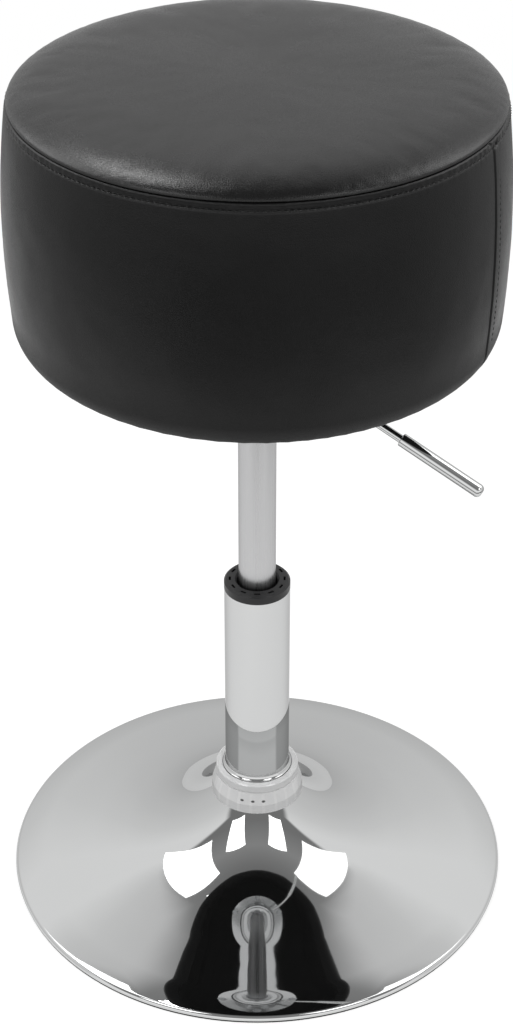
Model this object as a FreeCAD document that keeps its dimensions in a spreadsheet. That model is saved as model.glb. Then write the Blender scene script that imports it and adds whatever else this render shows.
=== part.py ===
import FreeCAD, Part
import math
import operator
import os

import Sketcher

# Driving sizes: millimetres, degrees and counts, one spreadsheet cell each
SIZES = {
    # Trumpet base: four arcs flatten from the neck out to the flank, then the edge bends down again
    "base_radius": 195.0,
    "base_sheet": 2.0,
    "rim_roll": 3.5,
    "edge_angle": 16.0,
    "flank_angle": 9.6,
    "apron_angle": 12.0,
    "skirt_angle": 16.6,
    "flare_angle": 27.0,
    "neck_angle": 52.0,
    "edge_radius": 197.0,
    "skirt_radius": 337.0,
    "flare_radius": 173.0,
    "neck_flare_radius": 138.0,
    "floor_pad": 2.0,
    "floor_pad_width": 15.0,
    "floor_pad_inset": 0.6,
    "floor_lip_height": 1.4,
    "floor_lip_width": 3.0,
    "brace_radius": 140.0,
    "brace_sheet": 2.0,
    "brace_hole_radius": 20.0,
    "brace_hole_count": 6.0,
    # Hub and collar
    "hub_wall": 4.0,
    "hub_inset": 1.0,
    "hub_lead": 7.0,
    "collar_overlap": 5.4,
    "collar_wall": 1.8,
    "collar_draft": 0.5,
    "collar_skirt_height": 7.5,
    "collar_shoulder": 2.9,
    "collar_shoulder_height": 10.0,
    "collar_groove": 0.8,
    "collar_groove_height": 1.2,
    "collar_lip_height": 5.8,
    "collar_edge": 1.0,
    "collar_funnel_width": 2.3,
    "collar_funnel_height": 3.5,
    "collar_sleeve_height": 11.0,
    "collar_rib": 1.2,
    "collar_rib_count": 22.0,
    # Stand tube and its fittings
    "tube_radius": 25.0,
    "tube_wall": 2.0,
    "tube_foot": 9.0,
    "tube_length": 252.0,
    "taper_angle": 1.4,
    "end_plate": 4.0,
    "bush_flange": 7.0,
    "bush_sleeve": 75.0,
    "bush_skin": 2.1,
    "bush_liner": 2.9,
    "bush_deck": 6.0,
    "bush_mouth": 1.3,
    "bush_mouth_depth": 6.0,
    "bush_mouth_cone": 4.0,
    "bush_bevel": 1.5,
    "bush_slot_length": 4.6,
    "bush_slot_width": 1.6,
    "bush_slot_depth": 3.0,
    "bush_slot_inset": 4.4,
    "bush_slot_count": 12.0,
    # Thrust bearing and spindle
    "journal_radius": 4.0,
    "rod_step": 1.0,
    "race_width": 9.4,
    "race_sheet": 2.0,
    "race_play": 0.6,
    "ball_radius": 2.5,
    "ball_count": 6.0,
    "cage_rim": 0.6,
    "cage_sheet": 1.6,
    "bump_width": 6.0,
    "bump_height": 10.0,
    "washer_width": 4.0,
    "washer_sheet": 1.0,
    "clip_width": 3.3,
    "clip_sheet": 1.0,
    "clip_mouth": 5.0,
    "clip_groove_depth": 0.8,
    "rod_tail": 1.4,
    "piston_height": 12.0,
    "piston_stud_step": 1.5,
    "piston_ring_height": 4.0,
    "piston_ring_depth": 1.3,
    "nut_wall": 2.0,
    "nut_height": 4.0,
    # Gas cylinder
    "stroke": 155.0,
    "bump_gap": 2.0,
    "top_gap": 7.0,
    "cylinder_radius": 14.0,
    "cylinder_wall": 1.7,
    "cylinder_lip": 1.3,
    "cylinder_lip_height": 1.5,
    "cylinder_taper_angle": 1.5,
    "cylinder_head_wall": 1.8,
    "bypass_gap": 1.3,
    "pressure_tube_wall": 1.0,
    "rod_guide_height": 15.5,
    "rod_seal_height": 5.0,
    "rod_seal_width": 3.9,
    "piston_gap": 0.5,
    "valve_flange": 8.0,
    "valve_rim": 2.0,
    "valve_seal": 1.8,
    "pin_radius": 3.0,
    "pin_button_step": 1.0,
    "pin_button_height": 1.5,
    "pin_shank": 33.5,
    # Taper socket, mechanism cup and seat plate
    "socket_wall": 3.45,
    "socket_height": 25.0,
    "cylinder_head": 2.0,
    "cup_room": 6.0,
    "cup_sheet": 2.0,
    "lever_room": 27.5,
    "cup_corner": 20.0,
    "cup_flange": 5.0,
    "lever_slot_play": 1.0,
    "plate_margin": 8.0,
    "plate_sheet": 2.5,
    "plate_bore": 30.0,
    "plate_edge": 0.8,
    "screw_standoff": 4.5,
    "screw_count": 4.0,
    "screw_radius": 3.0,
    "screw_hole_play": 0.3,
    "screw_head_radius": 5.6,
    "screw_head_height": 3.6,
    "screw_crown": 1.2,
    "screw_key_flats": 4.0,
    "screw_key_depth": 2.0,
    "screw_length": 17.0,
    "screw_washer_radius": 8.5,
    "screw_washer_sheet": 1.2,
    "tee_flange_radius": 9.5,
    "tee_flange": 1.5,
    "tee_barrel_wall": 1.5,
    "tee_barrel_length": 9.5,
    # Release lever
    "lever_azimuth": 25.0,
    "lever_droop": 24.5,
    "lever_travel": 7.0,
    "lever_reach": 163.7,
    "lever_rod_radius": 3.0,
    "handle_length": 68.0,
    "handle_radius": 4.9,
    "handle_edge": 0.5,
    "handle_nose": 3.6,
    "handle_plug": 8.0,
    "pivot_standoff": 6.5,
    "pivot_rise": 4.7,
    "pivot_pin_radius": 2.5,
    "pivot_head_radius": 3.8,
    "pivot_head": 1.5,
    "rocker_thickness": 9.0,
    "rocker_finger": 5.0,
    "rocker_finger_overrun": 4.6,
    "rocker_nose": 12.0,
    "rocker_heel": 5.0,
    "rocker_bevel": 2.0,
    "rod_setback": 4.6,
    "bracket_sheet": 2.2,
    "bracket_lap": 15.0,
    # Drum seat
    "seat_radius": 171.6,
    "seat_bulge_radius": 714.0,
    "seat_bulge_height": 78.0,
    "seat_band_height": 168.2,
    "seat_corner": 20.0,
    "cover": 1.2,
    "hem_width": 22.0,
    "hem_roll": 3.0,
    "hem_turn": 70.0,
    "panel_inset": 0.7,
    "panel_shoulder": 30.0,
    "panel_shoulder_angle": 30.0,
    "panel_turn": 110.0,
    "panel_crown_angle": 2.0,
    "seam_gap": 0.25,
    "side_seam_azimuth": 19.0,
    "side_seam_angle": 0.6,
    "side_seam_depth": 0.5,
    "foam_seam_notch": 4.0,
    "board_inset": 2.2,
    "board_thickness": 15.0,
    "dust_cloth": 1.0,
    "dust_inset": 7.0,
    "dust_step": 2.5,
    # Clearances
    "weld_gap": 0.05,
    "seat_gap": 0.05,
    "running_gap": 0.06,
    "bearing_gap": 0.05,
    "cage_play": 0.2,
    "side_play": 0.3,
    "release_gap": 0.3,
    "collar_play": 0.3,
    "soft_gap": 0.2,
}

doc = FreeCAD.newDocument("swivel_stool")
sheet = doc.addObject("Spreadsheet::Sheet", "Sizes")
for row, (alias, number) in enumerate(SIZES.items(), start=1):
    sheet.set(f"A{row}", alias)
    sheet.set(f"B{row}", str(number))
    sheet.setAlias(f"B{row}", alias)
doc.recompute()

OPERATIONS = {"+": operator.add, "-": operator.sub, "*": operator.mul, "/": operator.truediv}
LEFT, RIGHT = 1, -1


class Size:
    """A number together with the spreadsheet formula that gives it."""

    def __init__(self, value, formula):
        self.value = value
        self.formula = formula

    def __add__(self, other):
        return combine(self, "+", other)

    def __radd__(self, other):
        return combine(other, "+", self)

    def __sub__(self, other):
        return combine(self, "-", other)

    def __rsub__(self, other):
        return combine(other, "-", self)

    def __mul__(self, other):
        return combine(self, "*", other)

    def __rmul__(self, other):
        return combine(other, "*", self)

    def __truediv__(self, other):
        return combine(self, "/", other)

    def __neg__(self):
        return combine(0, "-", self)


def as_size(number):
    """A plain number as a Size; a Size stays as it is."""
    return number if isinstance(number, Size) else Size(float(number), str(float(number)))


def combine(left, sign, right):
    """Two sizes joined by an arithmetic sign."""
    left, right = as_size(left), as_size(right)
    value = OPERATIONS[sign](left.value, right.value)
    return Size(value, f"({left.formula} {sign} {right.formula})")


def sine(angle):
    return Size(math.sin(math.radians(angle.value)), f"sin({angle.formula})")


def cosine(angle):
    return Size(math.cos(math.radians(angle.value)), f"cos({angle.formula})")


def tangent(angle):
    return Size(math.tan(math.radians(angle.value)), f"tan({angle.formula})")


def root(square):
    return Size(math.sqrt(square.value), f"sqrt({square.formula})")


class SheetSizes:
    """Gives each spreadsheet cell as a Size under its alias."""

    def __getattr__(self, alias):
        return Size(SIZES[alias], f"Sizes.{alias}")


s = SheetSizes()
parts = {}


def new_body(label):
    """Start a sub-part; its label names its file."""
    body = doc.addObject("PartDesign::Body", label)
    body.Label = label
    parts[label] = body
    return body


def origin_feature(body, role):
    return next(feature for feature in body.Origin.OriginFeatures if feature.Role == role)


def new_sketch(body, name, plane="XZ_Plane", shift=(0, 0, 0)):
    """An empty sketch on one of the body's planes, moved in the sketch's own axes."""
    sketch = body.newObject("Sketcher::SketchObject", name)
    sketch.AttachmentSupport = [(origin_feature(body, plane), "")]
    sketch.MapMode = "FlatFace"
    for axis, amount in zip("xyz", shift):
        sketch.setExpression(f"AttachmentOffset.Base.{axis}", as_size(amount).formula)
    return sketch


def hold(sketch, kind, *where, amount):
    """Add a dimension to a sketch and tie it to the sheet."""
    amount = as_size(amount)
    index = sketch.addConstraint(Sketcher.Constraint(kind, *where, amount.value))
    if "Sizes." in amount.formula:
        sketch.setExpression(f"Constraints[{index}]", amount.formula)


def arc_geometry(start, end, radius, side):
    """A sketch arc of under a half circle, with the ends that hold its start and its end."""
    chord = FreeCAD.Vector(end[0] - start[0], end[1] - start[1], 0)
    middle = FreeCAD.Vector((start[0] + end[0]) / 2, (start[1] + end[1]) / 2, 0)
    to_centre = FreeCAD.Vector(-chord.y, chord.x, 0).normalize() * side
    centre = middle + to_centre * math.sqrt(radius ** 2 - (chord.Length / 2) ** 2)
    from_angle = math.atan2(start[1] - centre.y, start[0] - centre.x)
    to_angle = math.atan2(end[1] - centre.y, end[0] - centre.x)
    if side == RIGHT:
        from_angle, to_angle = to_angle, from_angle
    if to_angle < from_angle:
        to_angle += 2 * math.pi
    circle = Part.Circle(centre, FreeCAD.Vector(0, 0, 1), radius)
    return Part.ArcOfCircle(circle, from_angle, to_angle), (1, 2) if side == LEFT else (2, 1)


def draw(sketch, outline):
    """Draw a closed outline: (x, y) is a line to that corner, (x, y, radius, side) an arc to it."""
    corners = [(as_size(corner[0]), as_size(corner[1])) for corner in outline]
    first = sketch.GeometryCount
    ends = []
    for index, corner in enumerate(outline):
        start = tuple(amount.value for amount in corners[index - 1])
        end = tuple(amount.value for amount in corners[index])
        if len(corner) == 2:
            sketch.addGeometry(Part.LineSegment(FreeCAD.Vector(*start, 0), FreeCAD.Vector(*end, 0)))
            ends.append((1, 2))
        else:
            geometry, arc_ends = arc_geometry(start, end, as_size(corner[2]).value, corner[3])
            sketch.addGeometry(geometry)
            ends.append(arc_ends)
    for index, corner in enumerate(outline):
        after = (index + 1) % len(outline)
        here = (first + index, ends[index][1])
        sketch.addConstraint(Sketcher.Constraint("Coincident", *here, first + after, ends[after][0]))
        hold(sketch, "DistanceX", -1, 1, *here, amount=corners[index][0])
        hold(sketch, "DistanceY", -1, 1, *here, amount=corners[index][1])
        if len(corner) == 4:
            hold(sketch, "Radius", first + index, amount=corner[2])


def draw_circle(sketch, x, y, radius):
    """Draw a circle held by its centre and radius."""
    x, y, radius = as_size(x), as_size(y), as_size(radius)
    centre = FreeCAD.Vector(x.value, y.value, 0)
    index = sketch.addGeometry(Part.Circle(centre, FreeCAD.Vector(0, 0, 1), radius.value))
    hold(sketch, "DistanceX", -1, 1, index, 3, amount=x)
    hold(sketch, "DistanceY", -1, 1, index, 3, amount=y)
    hold(sketch, "Radius", index, amount=radius)


def box_outline(low_x, low_y, high_x, high_y):
    return [(low_x, low_y), (high_x, low_y), (high_x, high_y), (low_x, high_y)]


def hexagon(flats):
    """Corners of a hexagon given across its flats."""
    reach = flats / 2 / cosine(as_size(30))
    angles = [as_size(60 * corner) for corner in range(6)]
    return [(reach * cosine(angle), reach * sine(angle)) for angle in angles]


def revolve(label, outline, axis="V_Axis", offset=0):
    """A new body turned from a profile; offset moves its axis away from the stool's."""
    body = new_body(label)
    sketch = new_sketch(body, f"{label}_profile", shift=(offset, 0, 0))
    draw(sketch, outline)
    feature = body.newObject("PartDesign::Revolution", f"{label}_turned")
    feature.Profile = sketch
    feature.ReferenceAxis = (sketch, [axis])
    feature.Angle = 360
    return body, feature


def pad(body, sketch, length, symmetric=False):
    """Thicken a sketch along its normal, or to both sides of it."""
    feature = body.newObject("PartDesign::Pad", f"{sketch.Name}_pad")
    feature.Profile = sketch
    feature.setExpression("Length", as_size(length).formula)
    feature.SideType = "Symmetric" if symmetric else "One side"
    return feature


def pocket(body, sketch, length=None, symmetric=False, reverse=False):
    """Cut a sketch out of the body, right through where no length is given."""
    feature = body.newObject("PartDesign::Pocket", f"{sketch.Name}_cut")
    feature.Profile = sketch
    feature.SideType = "Symmetric" if symmetric else "One side"
    feature.Reversed = reverse
    if length is None:
        feature.Type = "ThroughAll"
    else:
        feature.setExpression("Length", as_size(length).formula)
    return feature


def ring_of(body, features, count):
    """Repeat features evenly around the stool's axis."""
    pattern = body.newObject("PartDesign::PolarPattern", f"{body.Name}_ring")
    pattern.Originals = features
    pattern.Axis = (origin_feature(body, "Z_Axis"), [""])
    pattern.Angle = 360
    pattern.setExpression("Occurrences", count.formula)
    body.Tip = pattern


def ring_holes(body, circle, radius, count, height):
    """Drill evenly spaced holes right through, down from a height."""
    sketch = new_sketch(body, f"{body.Name}_hole", "XY_Plane", (0, 0, height))
    draw_circle(sketch, circle, 0, radius)
    ring_of(body, [pocket(body, sketch)], count)


def place(body, position, yaw, pitch=0, roll=0):
    """Tie a body's place and turn to the sheet."""
    place_text = "; ".join(as_size(amount).formula for amount in position)
    turn_text = "; ".join(as_size(angle).formula for angle in (yaw, pitch, roll))
    body.setExpression("Placement", f"placement(vector({place_text}); rotation({turn_text}))")


# Trumpet base profile, from the neck out to the rim: radius, height and slope at each joint
hub_radius = s.tube_radius + s.hub_wall
neck_radius = hub_radius + s.weld_gap + s.base_sheet * sine(s.neck_angle)
flare_start = neck_radius + s.neck_flare_radius * (sine(s.neck_angle) - sine(s.flare_angle))
skirt_start = flare_start + s.flare_radius * (sine(s.flare_angle) - sine(s.skirt_angle))
apron_start = skirt_start + s.skirt_radius * (sine(s.skirt_angle) - sine(s.apron_angle))
rim_start = s.base_radius - s.rim_roll * (1 - sine(s.edge_angle))
edge_start = rim_start - s.edge_radius * (sine(s.edge_angle) - sine(s.flank_angle))
apron_radius = (edge_start - apron_start) / (sine(s.apron_angle) - sine(s.flank_angle))
rim_height = s.floor_pad + s.rim_roll * cosine(s.edge_angle)
edge_height = rim_height + s.edge_radius * (cosine(s.flank_angle) - cosine(s.edge_angle))
apron_height = edge_height + apron_radius * (cosine(s.flank_angle) - cosine(s.apron_angle))
skirt_height = apron_height + s.skirt_radius * (cosine(s.apron_angle) - cosine(s.skirt_angle))
flare_height = skirt_height + s.flare_radius * (cosine(s.skirt_angle) - cosine(s.flare_angle))
neck_height = flare_height + s.neck_flare_radius * (cosine(s.flare_angle) - cosine(s.neck_angle))
hub_top = neck_height - s.hub_inset


def sunk(radius, height, angle, depth):
    """A point below the base's outer face by a depth, square to its slope."""
    return radius - depth * sine(angle), height - depth * cosine(angle)


def neck_face_height(radius):
    """Height of the base's outer face on its neck arc."""
    centre_radius = neck_radius + s.neck_flare_radius * sine(s.neck_angle)
    centre_height = neck_height + s.neck_flare_radius * cosine(s.neck_angle)
    reach = centre_radius - radius
    return centre_height - root(s.neck_flare_radius * s.neck_flare_radius - reach * reach)


def underside_height(radius):
    """Height of the base's inner face on its apron arc."""
    centre_radius = edge_start + apron_radius * sine(s.flank_angle)
    centre_height = edge_height + apron_radius * cosine(s.flank_angle)
    reach = centre_radius - radius
    span = apron_radius + s.base_sheet
    return centre_height - root(span * span - reach * reach)


# Heights along the column, from the floor up, with the lift fully raised
tube_top = s.tube_foot + s.tube_length
taper_top = hub_top - s.hub_lead
foot_radius = s.tube_radius - (taper_top - s.tube_foot) * tangent(s.taper_angle)
tube_bore = s.tube_radius - s.tube_wall
rod_radius = s.journal_radius + s.rod_step
stud_radius = rod_radius - s.piston_stud_step
race_bottom = s.tube_foot + s.end_plate
race_bore = s.journal_radius + s.race_play
race_radius = race_bore + s.race_width
ball_circle = (race_bore + race_radius) / 2
ball_height = race_bottom + s.race_sheet + s.bearing_gap + s.ball_radius
upper_race_bottom = ball_height + s.ball_radius + s.bearing_gap
rod_shoulder = upper_race_bottom + s.race_sheet
bump_top = rod_shoulder + s.bump_height
bush_top = tube_top + s.bush_flange
cylinder_bottom = bump_top + s.bump_gap + s.stroke
cup_bottom = bush_top + s.top_gap + s.stroke
socket_top = cup_bottom + s.socket_height
cylinder_top = socket_top + s.cylinder_head
cylinder_bore = s.cylinder_radius - s.cylinder_wall
cylinder_top_radius = s.cylinder_radius - (cylinder_top - cup_bottom) * tangent(s.cylinder_taper_angle)
head_bore = cylinder_top_radius - s.cylinder_head_wall
guide_bottom = cylinder_bottom + s.cylinder_lip_height
guide_top = guide_bottom + s.rod_guide_height
piston_bottom = guide_top + s.piston_gap
piston_top = piston_bottom + s.piston_height
pressure_radius = cylinder_bore - s.bypass_gap
pressure_bore = pressure_radius - s.pressure_tube_wall
seal_radius = rod_radius + s.rod_seal_width
valve_seat = cup_bottom + s.seat_gap
valve_bottom = valve_seat - s.valve_flange
valve_top = cylinder_top - s.valve_rim
socket_radius = s.cylinder_radius + s.seat_gap + s.socket_wall
pivot_offset = socket_radius + s.pivot_standoff
cup_radius = pivot_offset + s.rocker_nose + s.cup_room
cup_flange_radius = cup_radius + s.cup_flange
plate_bottom = socket_top + s.lever_room
plate_top = plate_bottom + s.plate_sheet
screw_circle = cup_flange_radius + s.screw_washer_radius + s.screw_standoff
plate_radius = screw_circle + s.plate_margin
board_bottom = plate_top + s.dust_cloth
board_top = board_bottom + s.board_thickness

# Release lever: pivot point, and the pin's dome just under the rocker's lower face
pivot_height = socket_top + s.pivot_rise
rocker_half = s.rocker_thickness / 2
button_radius = s.pin_radius + s.pin_button_step
dome_reach = (rocker_half + s.release_gap + button_radius) / cosine(s.lever_droop)
dome_height = pivot_height + pivot_offset * tangent(s.lever_droop) - dome_reach
pivot_x = pivot_offset * cosine(s.lever_azimuth)
pivot_y = -pivot_offset * sine(s.lever_azimuth)


def make_base_shell():
    """Pressed sheet: the flare outside, the same arcs one sheet deeper inside."""
    neck = (neck_radius, neck_height, s.neck_angle)
    flare = (flare_start, flare_height, s.flare_angle)
    skirt = (skirt_start, skirt_height, s.skirt_angle)
    apron = (apron_start, apron_height, s.apron_angle)
    edge = (edge_start, edge_height, s.flank_angle)
    rim = (rim_start, rim_height, s.edge_angle)
    revolve("base_shell", [
        neck[:2],
        (*flare[:2], s.neck_flare_radius, LEFT),
        (*skirt[:2], s.flare_radius, LEFT),
        (*apron[:2], s.skirt_radius, LEFT),
        (*edge[:2], apron_radius, LEFT),
        (*rim[:2], s.edge_radius, RIGHT),
        (s.base_radius, s.floor_pad, s.rim_roll, RIGHT),
        (s.base_radius - s.base_sheet, s.floor_pad),
        (*sunk(*rim, s.base_sheet), s.rim_roll - s.base_sheet, LEFT),
        (*sunk(*edge, s.base_sheet), s.edge_radius - s.base_sheet, LEFT),
        (*sunk(*apron, s.base_sheet), apron_radius + s.base_sheet, RIGHT),
        (*sunk(*skirt, s.base_sheet), s.skirt_radius + s.base_sheet, RIGHT),
        (*sunk(*flare, s.base_sheet), s.flare_radius + s.base_sheet, RIGHT),
        (*sunk(*neck, s.base_sheet), s.neck_flare_radius + s.base_sheet, RIGHT),
    ])


def make_floor_ring():
    """Flat ring under the rim, with a lip that centres it inside the sheet's edge."""
    outer = s.base_radius - s.floor_pad_inset
    lip_outer = s.base_radius - s.rim_roll - s.seat_gap
    lip_inner = lip_outer - s.floor_lip_width
    revolve("floor_ring", [
        (outer - s.floor_pad_width, 0),
        (outer, 0),
        (outer, s.floor_pad),
        (lip_outer, s.floor_pad),
        (lip_outer, s.floor_pad + s.floor_lip_height),
        (lip_inner, s.floor_pad + s.floor_lip_height),
        (lip_inner, s.floor_pad),
        (outer - s.floor_pad_width, s.floor_pad),
    ])


def make_hub_socket():
    """Steel hub whose tapered bore holds the tube's foot."""
    revolve("hub_socket", [
        (foot_radius + s.seat_gap, s.tube_foot),
        (hub_radius, s.tube_foot),
        (hub_radius, hub_top),
        (s.tube_radius + s.seat_gap, hub_top),
        (s.tube_radius + s.seat_gap, taper_top),
    ])


def make_brace_plate():
    """Holed disc that ties the hub's foot to the underside of the apron."""
    top = underside_height(s.brace_radius) - s.weld_gap
    inner = hub_radius + s.weld_gap
    body, _ = revolve("brace_plate", box_outline(inner, top - s.brace_sheet, s.brace_radius, top))
    hole_circle = (inner + s.brace_radius) / 2
    ring_holes(body, hole_circle, s.brace_hole_radius, s.brace_hole_count, top)


def make_collar():
    """Clear moulded collar: a skirt on the neck, a sloping shoulder, a grooved lip and ribs inside."""
    outer = neck_radius + s.collar_overlap
    skirt_bottom = neck_face_height(outer) + s.seat_gap
    skirt_edge = outer - s.collar_draft
    skirt_top = skirt_bottom + s.collar_skirt_height
    lip_radius = skirt_edge - s.collar_shoulder
    shoulder_top = skirt_top + s.collar_shoulder_height
    groove_top = shoulder_top + s.collar_groove_height
    lip_top = groove_top + s.collar_lip_height
    bore = s.tube_radius + s.collar_play
    sleeve = bore + s.collar_wall
    sleeve_bottom = lip_top - s.collar_funnel_height - s.collar_sleeve_height
    ceiling = shoulder_top - s.collar_wall
    skirt_inner = outer - s.collar_wall
    body, _ = revolve("collar", [
        (outer, skirt_bottom),
        (skirt_edge, skirt_top),
        (lip_radius, shoulder_top),
        (lip_radius - s.collar_groove, shoulder_top),
        (lip_radius - s.collar_groove, groove_top),
        (lip_radius, groove_top),
        (lip_radius - s.collar_draft, lip_top - s.collar_edge),
        (lip_radius - s.collar_draft - s.collar_edge, lip_top),
        (bore + s.collar_funnel_width, lip_top),
        (bore, lip_top - s.collar_funnel_height),
        (bore, sleeve_bottom),
        (sleeve, sleeve_bottom),
        (sleeve, ceiling),
        (lip_radius - s.collar_wall, ceiling),
        (skirt_edge - s.collar_wall, skirt_top),
        (skirt_inner, neck_face_height(skirt_inner) + s.seat_gap),
    ])
    rib = new_sketch(body, "collar_rib")
    rib_foot = neck_height + s.collar_wall
    rib_sink = s.collar_wall / 2
    rib_inner = sleeve - s.collar_draft
    draw(rib, [
        (rib_inner, rib_foot),
        (skirt_edge - s.collar_wall, rib_foot),
        (lip_radius - rib_sink, ceiling),
        (lip_radius - s.collar_wall, ceiling + s.collar_draft),
        (rib_inner, ceiling + s.collar_draft),
    ])
    ring_of(body, [pad(body, rib, s.collar_rib, symmetric=True)], s.collar_rib_count)


def make_stand_tube():
    """Outer tube: straight above, tapered at its foot."""
    revolve("stand_tube", [
        (foot_radius - s.tube_wall, s.tube_foot),
        (foot_radius, s.tube_foot),
        (s.tube_radius, taper_top),
        (s.tube_radius, tube_top),
        (tube_bore, tube_top),
        (tube_bore, taper_top),
    ])


def make_tube_end_plate():
    """Plate that closes the tube's foot and guides the rod's journal."""
    outer = foot_radius - s.tube_wall - s.seat_gap
    bore = s.journal_radius + s.running_gap
    revolve("tube_end_plate", box_outline(bore, s.tube_foot, outer, race_bottom))


def make_guide_bush():
    """Moulded bush: a flange on the tube's mouth, an outer skin, and a liner for the cylinder."""
    skin = tube_bore - s.seat_gap
    bore = s.cylinder_radius + s.running_gap
    bottom = tube_top - s.bush_sleeve
    deck_bottom = bush_top - s.bush_deck
    mouth = bore + s.bush_mouth
    mouth_bottom = bush_top - s.bush_mouth_depth
    body, _ = revolve("guide_bush", [
        (skin - s.bush_skin, bottom),
        (skin, bottom),
        (skin, tube_top),
        (s.tube_radius, tube_top),
        (s.tube_radius, bush_top - s.bush_bevel),
        (s.tube_radius - s.bush_bevel, bush_top),
        (mouth + s.bush_bevel, bush_top),
        (mouth, bush_top - s.bush_bevel),
        (mouth, mouth_bottom),
        (bore, mouth_bottom - s.bush_mouth_cone),
        (bore, bottom),
        (bore + s.bush_liner, bottom),
        (bore + s.bush_liner, deck_bottom),
        (skin - s.bush_skin, deck_bottom),
    ])
    slot = new_sketch(body, "bush_slot", "XY_Plane", (0, 0, bush_top))
    half_width, half_length = s.bush_slot_width / 2, s.bush_slot_length / 2
    slot_circle = s.tube_radius - s.bush_slot_inset
    draw(slot, box_outline(slot_circle - half_width, -half_length,
                           slot_circle + half_width, half_length))
    ring_of(body, [pocket(body, slot, s.bush_slot_depth)], s.bush_slot_count)


def make_bearing():
    """Thrust bearing: two flat races with a cage of balls between them."""
    turning_bore = s.journal_radius + s.seat_gap
    revolve("lower_race", box_outline(race_bore, race_bottom, race_radius, race_bottom + s.race_sheet))
    revolve("upper_race", box_outline(turning_bore, upper_race_bottom, race_radius, rod_shoulder))
    pocket_radius = s.ball_radius + s.cage_play
    half_sheet, half_width = s.cage_sheet / 2, pocket_radius + s.cage_rim
    cage, _ = revolve("ball_cage", box_outline(ball_circle - half_width, ball_height - half_sheet,
                                               ball_circle + half_width, ball_height + half_sheet))
    ring_holes(cage, ball_circle, pocket_radius, s.ball_count, ball_height + half_sheet)
    balls, ball = revolve("bearing_balls", [
        (0, ball_height - s.ball_radius),
        (s.ball_radius, ball_height, s.ball_radius, LEFT),
        (0, ball_height + s.ball_radius, s.ball_radius, LEFT),
    ], offset=ball_circle)
    ring_of(balls, [ball], s.ball_count)


def make_spindle():
    """Piston rod with its clip and washer below, bump stop above the bearing and piston on top."""
    washer_top = s.tube_foot - s.bearing_gap
    clip_top = washer_top - s.washer_sheet
    clip_bottom = clip_top - s.clip_sheet
    groove = s.journal_radius - s.clip_groove_depth
    tail = clip_bottom - s.rod_tail
    nut_top = piston_top + s.nut_height
    revolve("piston_rod", [
        (0, tail),
        (groove, tail),
        (s.journal_radius, tail + s.clip_groove_depth),
        (s.journal_radius, clip_bottom),
        (groove, clip_bottom),
        (groove, clip_top),
        (s.journal_radius, clip_top),
        (s.journal_radius, rod_shoulder),
        (rod_radius, rod_shoulder),
        (rod_radius, piston_bottom),
        (stud_radius, piston_bottom),
        (stud_radius, nut_top),
        (0, nut_top),
    ])
    turning_bore = s.journal_radius + s.seat_gap
    washer_radius = turning_bore + s.washer_width
    revolve("rod_washer", box_outline(turning_bore, clip_top, washer_radius, washer_top))
    clip_bore = groove + s.seat_gap
    clip_radius = clip_bore + s.clip_width
    clip, _ = revolve("rod_clip", box_outline(clip_bore, clip_bottom, clip_radius, clip_top))
    mouth = new_sketch(clip, "clip_mouth", "XY_Plane", (0, 0, clip_top))
    draw(mouth, box_outline(0, -s.clip_mouth / 2, clip_radius * 2, s.clip_mouth / 2))
    pocket(clip, mouth)
    bump_bore = rod_radius + s.seat_gap
    revolve("bump_stop", box_outline(bump_bore, rod_shoulder, bump_bore + s.bump_width, bump_top))
    make_piston()


def make_piston():
    """Piston with a sealing ring in its groove, held on the rod's stud by a nut."""
    outer = pressure_bore - s.running_gap
    stud_bore = stud_radius + s.seat_gap
    groove_bottom = (piston_bottom + piston_top - s.piston_ring_height) / 2
    groove_top = groove_bottom + s.piston_ring_height
    groove = outer - s.piston_ring_depth
    revolve("piston", [
        (stud_bore, piston_bottom),
        (outer, piston_bottom),
        (outer, groove_bottom),
        (groove, groove_bottom),
        (groove, groove_top),
        (outer, groove_top),
        (outer, piston_top),
        (stud_bore, piston_top),
    ])
    revolve("piston_ring", box_outline(groove + s.seat_gap, groove_bottom, outer, groove_top))
    nut = new_body("piston_nut")
    sketch = new_sketch(nut, "nut_outline", "XY_Plane", (0, 0, piston_top))
    draw(sketch, hexagon((stud_bore + s.nut_wall) * 2))
    draw_circle(sketch, 0, 0, stud_bore)
    pad(nut, sketch, s.nut_height)


def make_gas_cylinder():
    """Sliding cylinder: a rolled lip below and a tapered, thickened head above."""
    revolve("gas_cylinder", [
        (cylinder_bore - s.cylinder_lip, cylinder_bottom),
        (s.cylinder_radius, cylinder_bottom),
        (s.cylinder_radius, cup_bottom),
        (cylinder_top_radius, cylinder_top),
        (head_bore, cylinder_top),
        (head_bore, valve_seat),
        (cylinder_bore, valve_seat),
        (cylinder_bore, guide_bottom),
        (cylinder_bore - s.cylinder_lip, guide_bottom),
    ])
    revolve("pressure_tube", box_outline(pressure_bore, guide_top, pressure_radius, valve_bottom))
    rod_bore = rod_radius + s.running_gap
    seal_bottom = guide_top - s.rod_seal_height
    guide_radius = cylinder_bore - s.seat_gap
    revolve("rod_guide", [
        (rod_bore, guide_bottom),
        (guide_radius, guide_bottom),
        (guide_radius, guide_top),
        (seal_radius, guide_top),
        (seal_radius, seal_bottom),
        (rod_bore, seal_bottom),
    ])
    revolve("rod_seal", box_outline(rod_bore, seal_bottom, seal_radius - s.seat_gap, guide_top))


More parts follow.
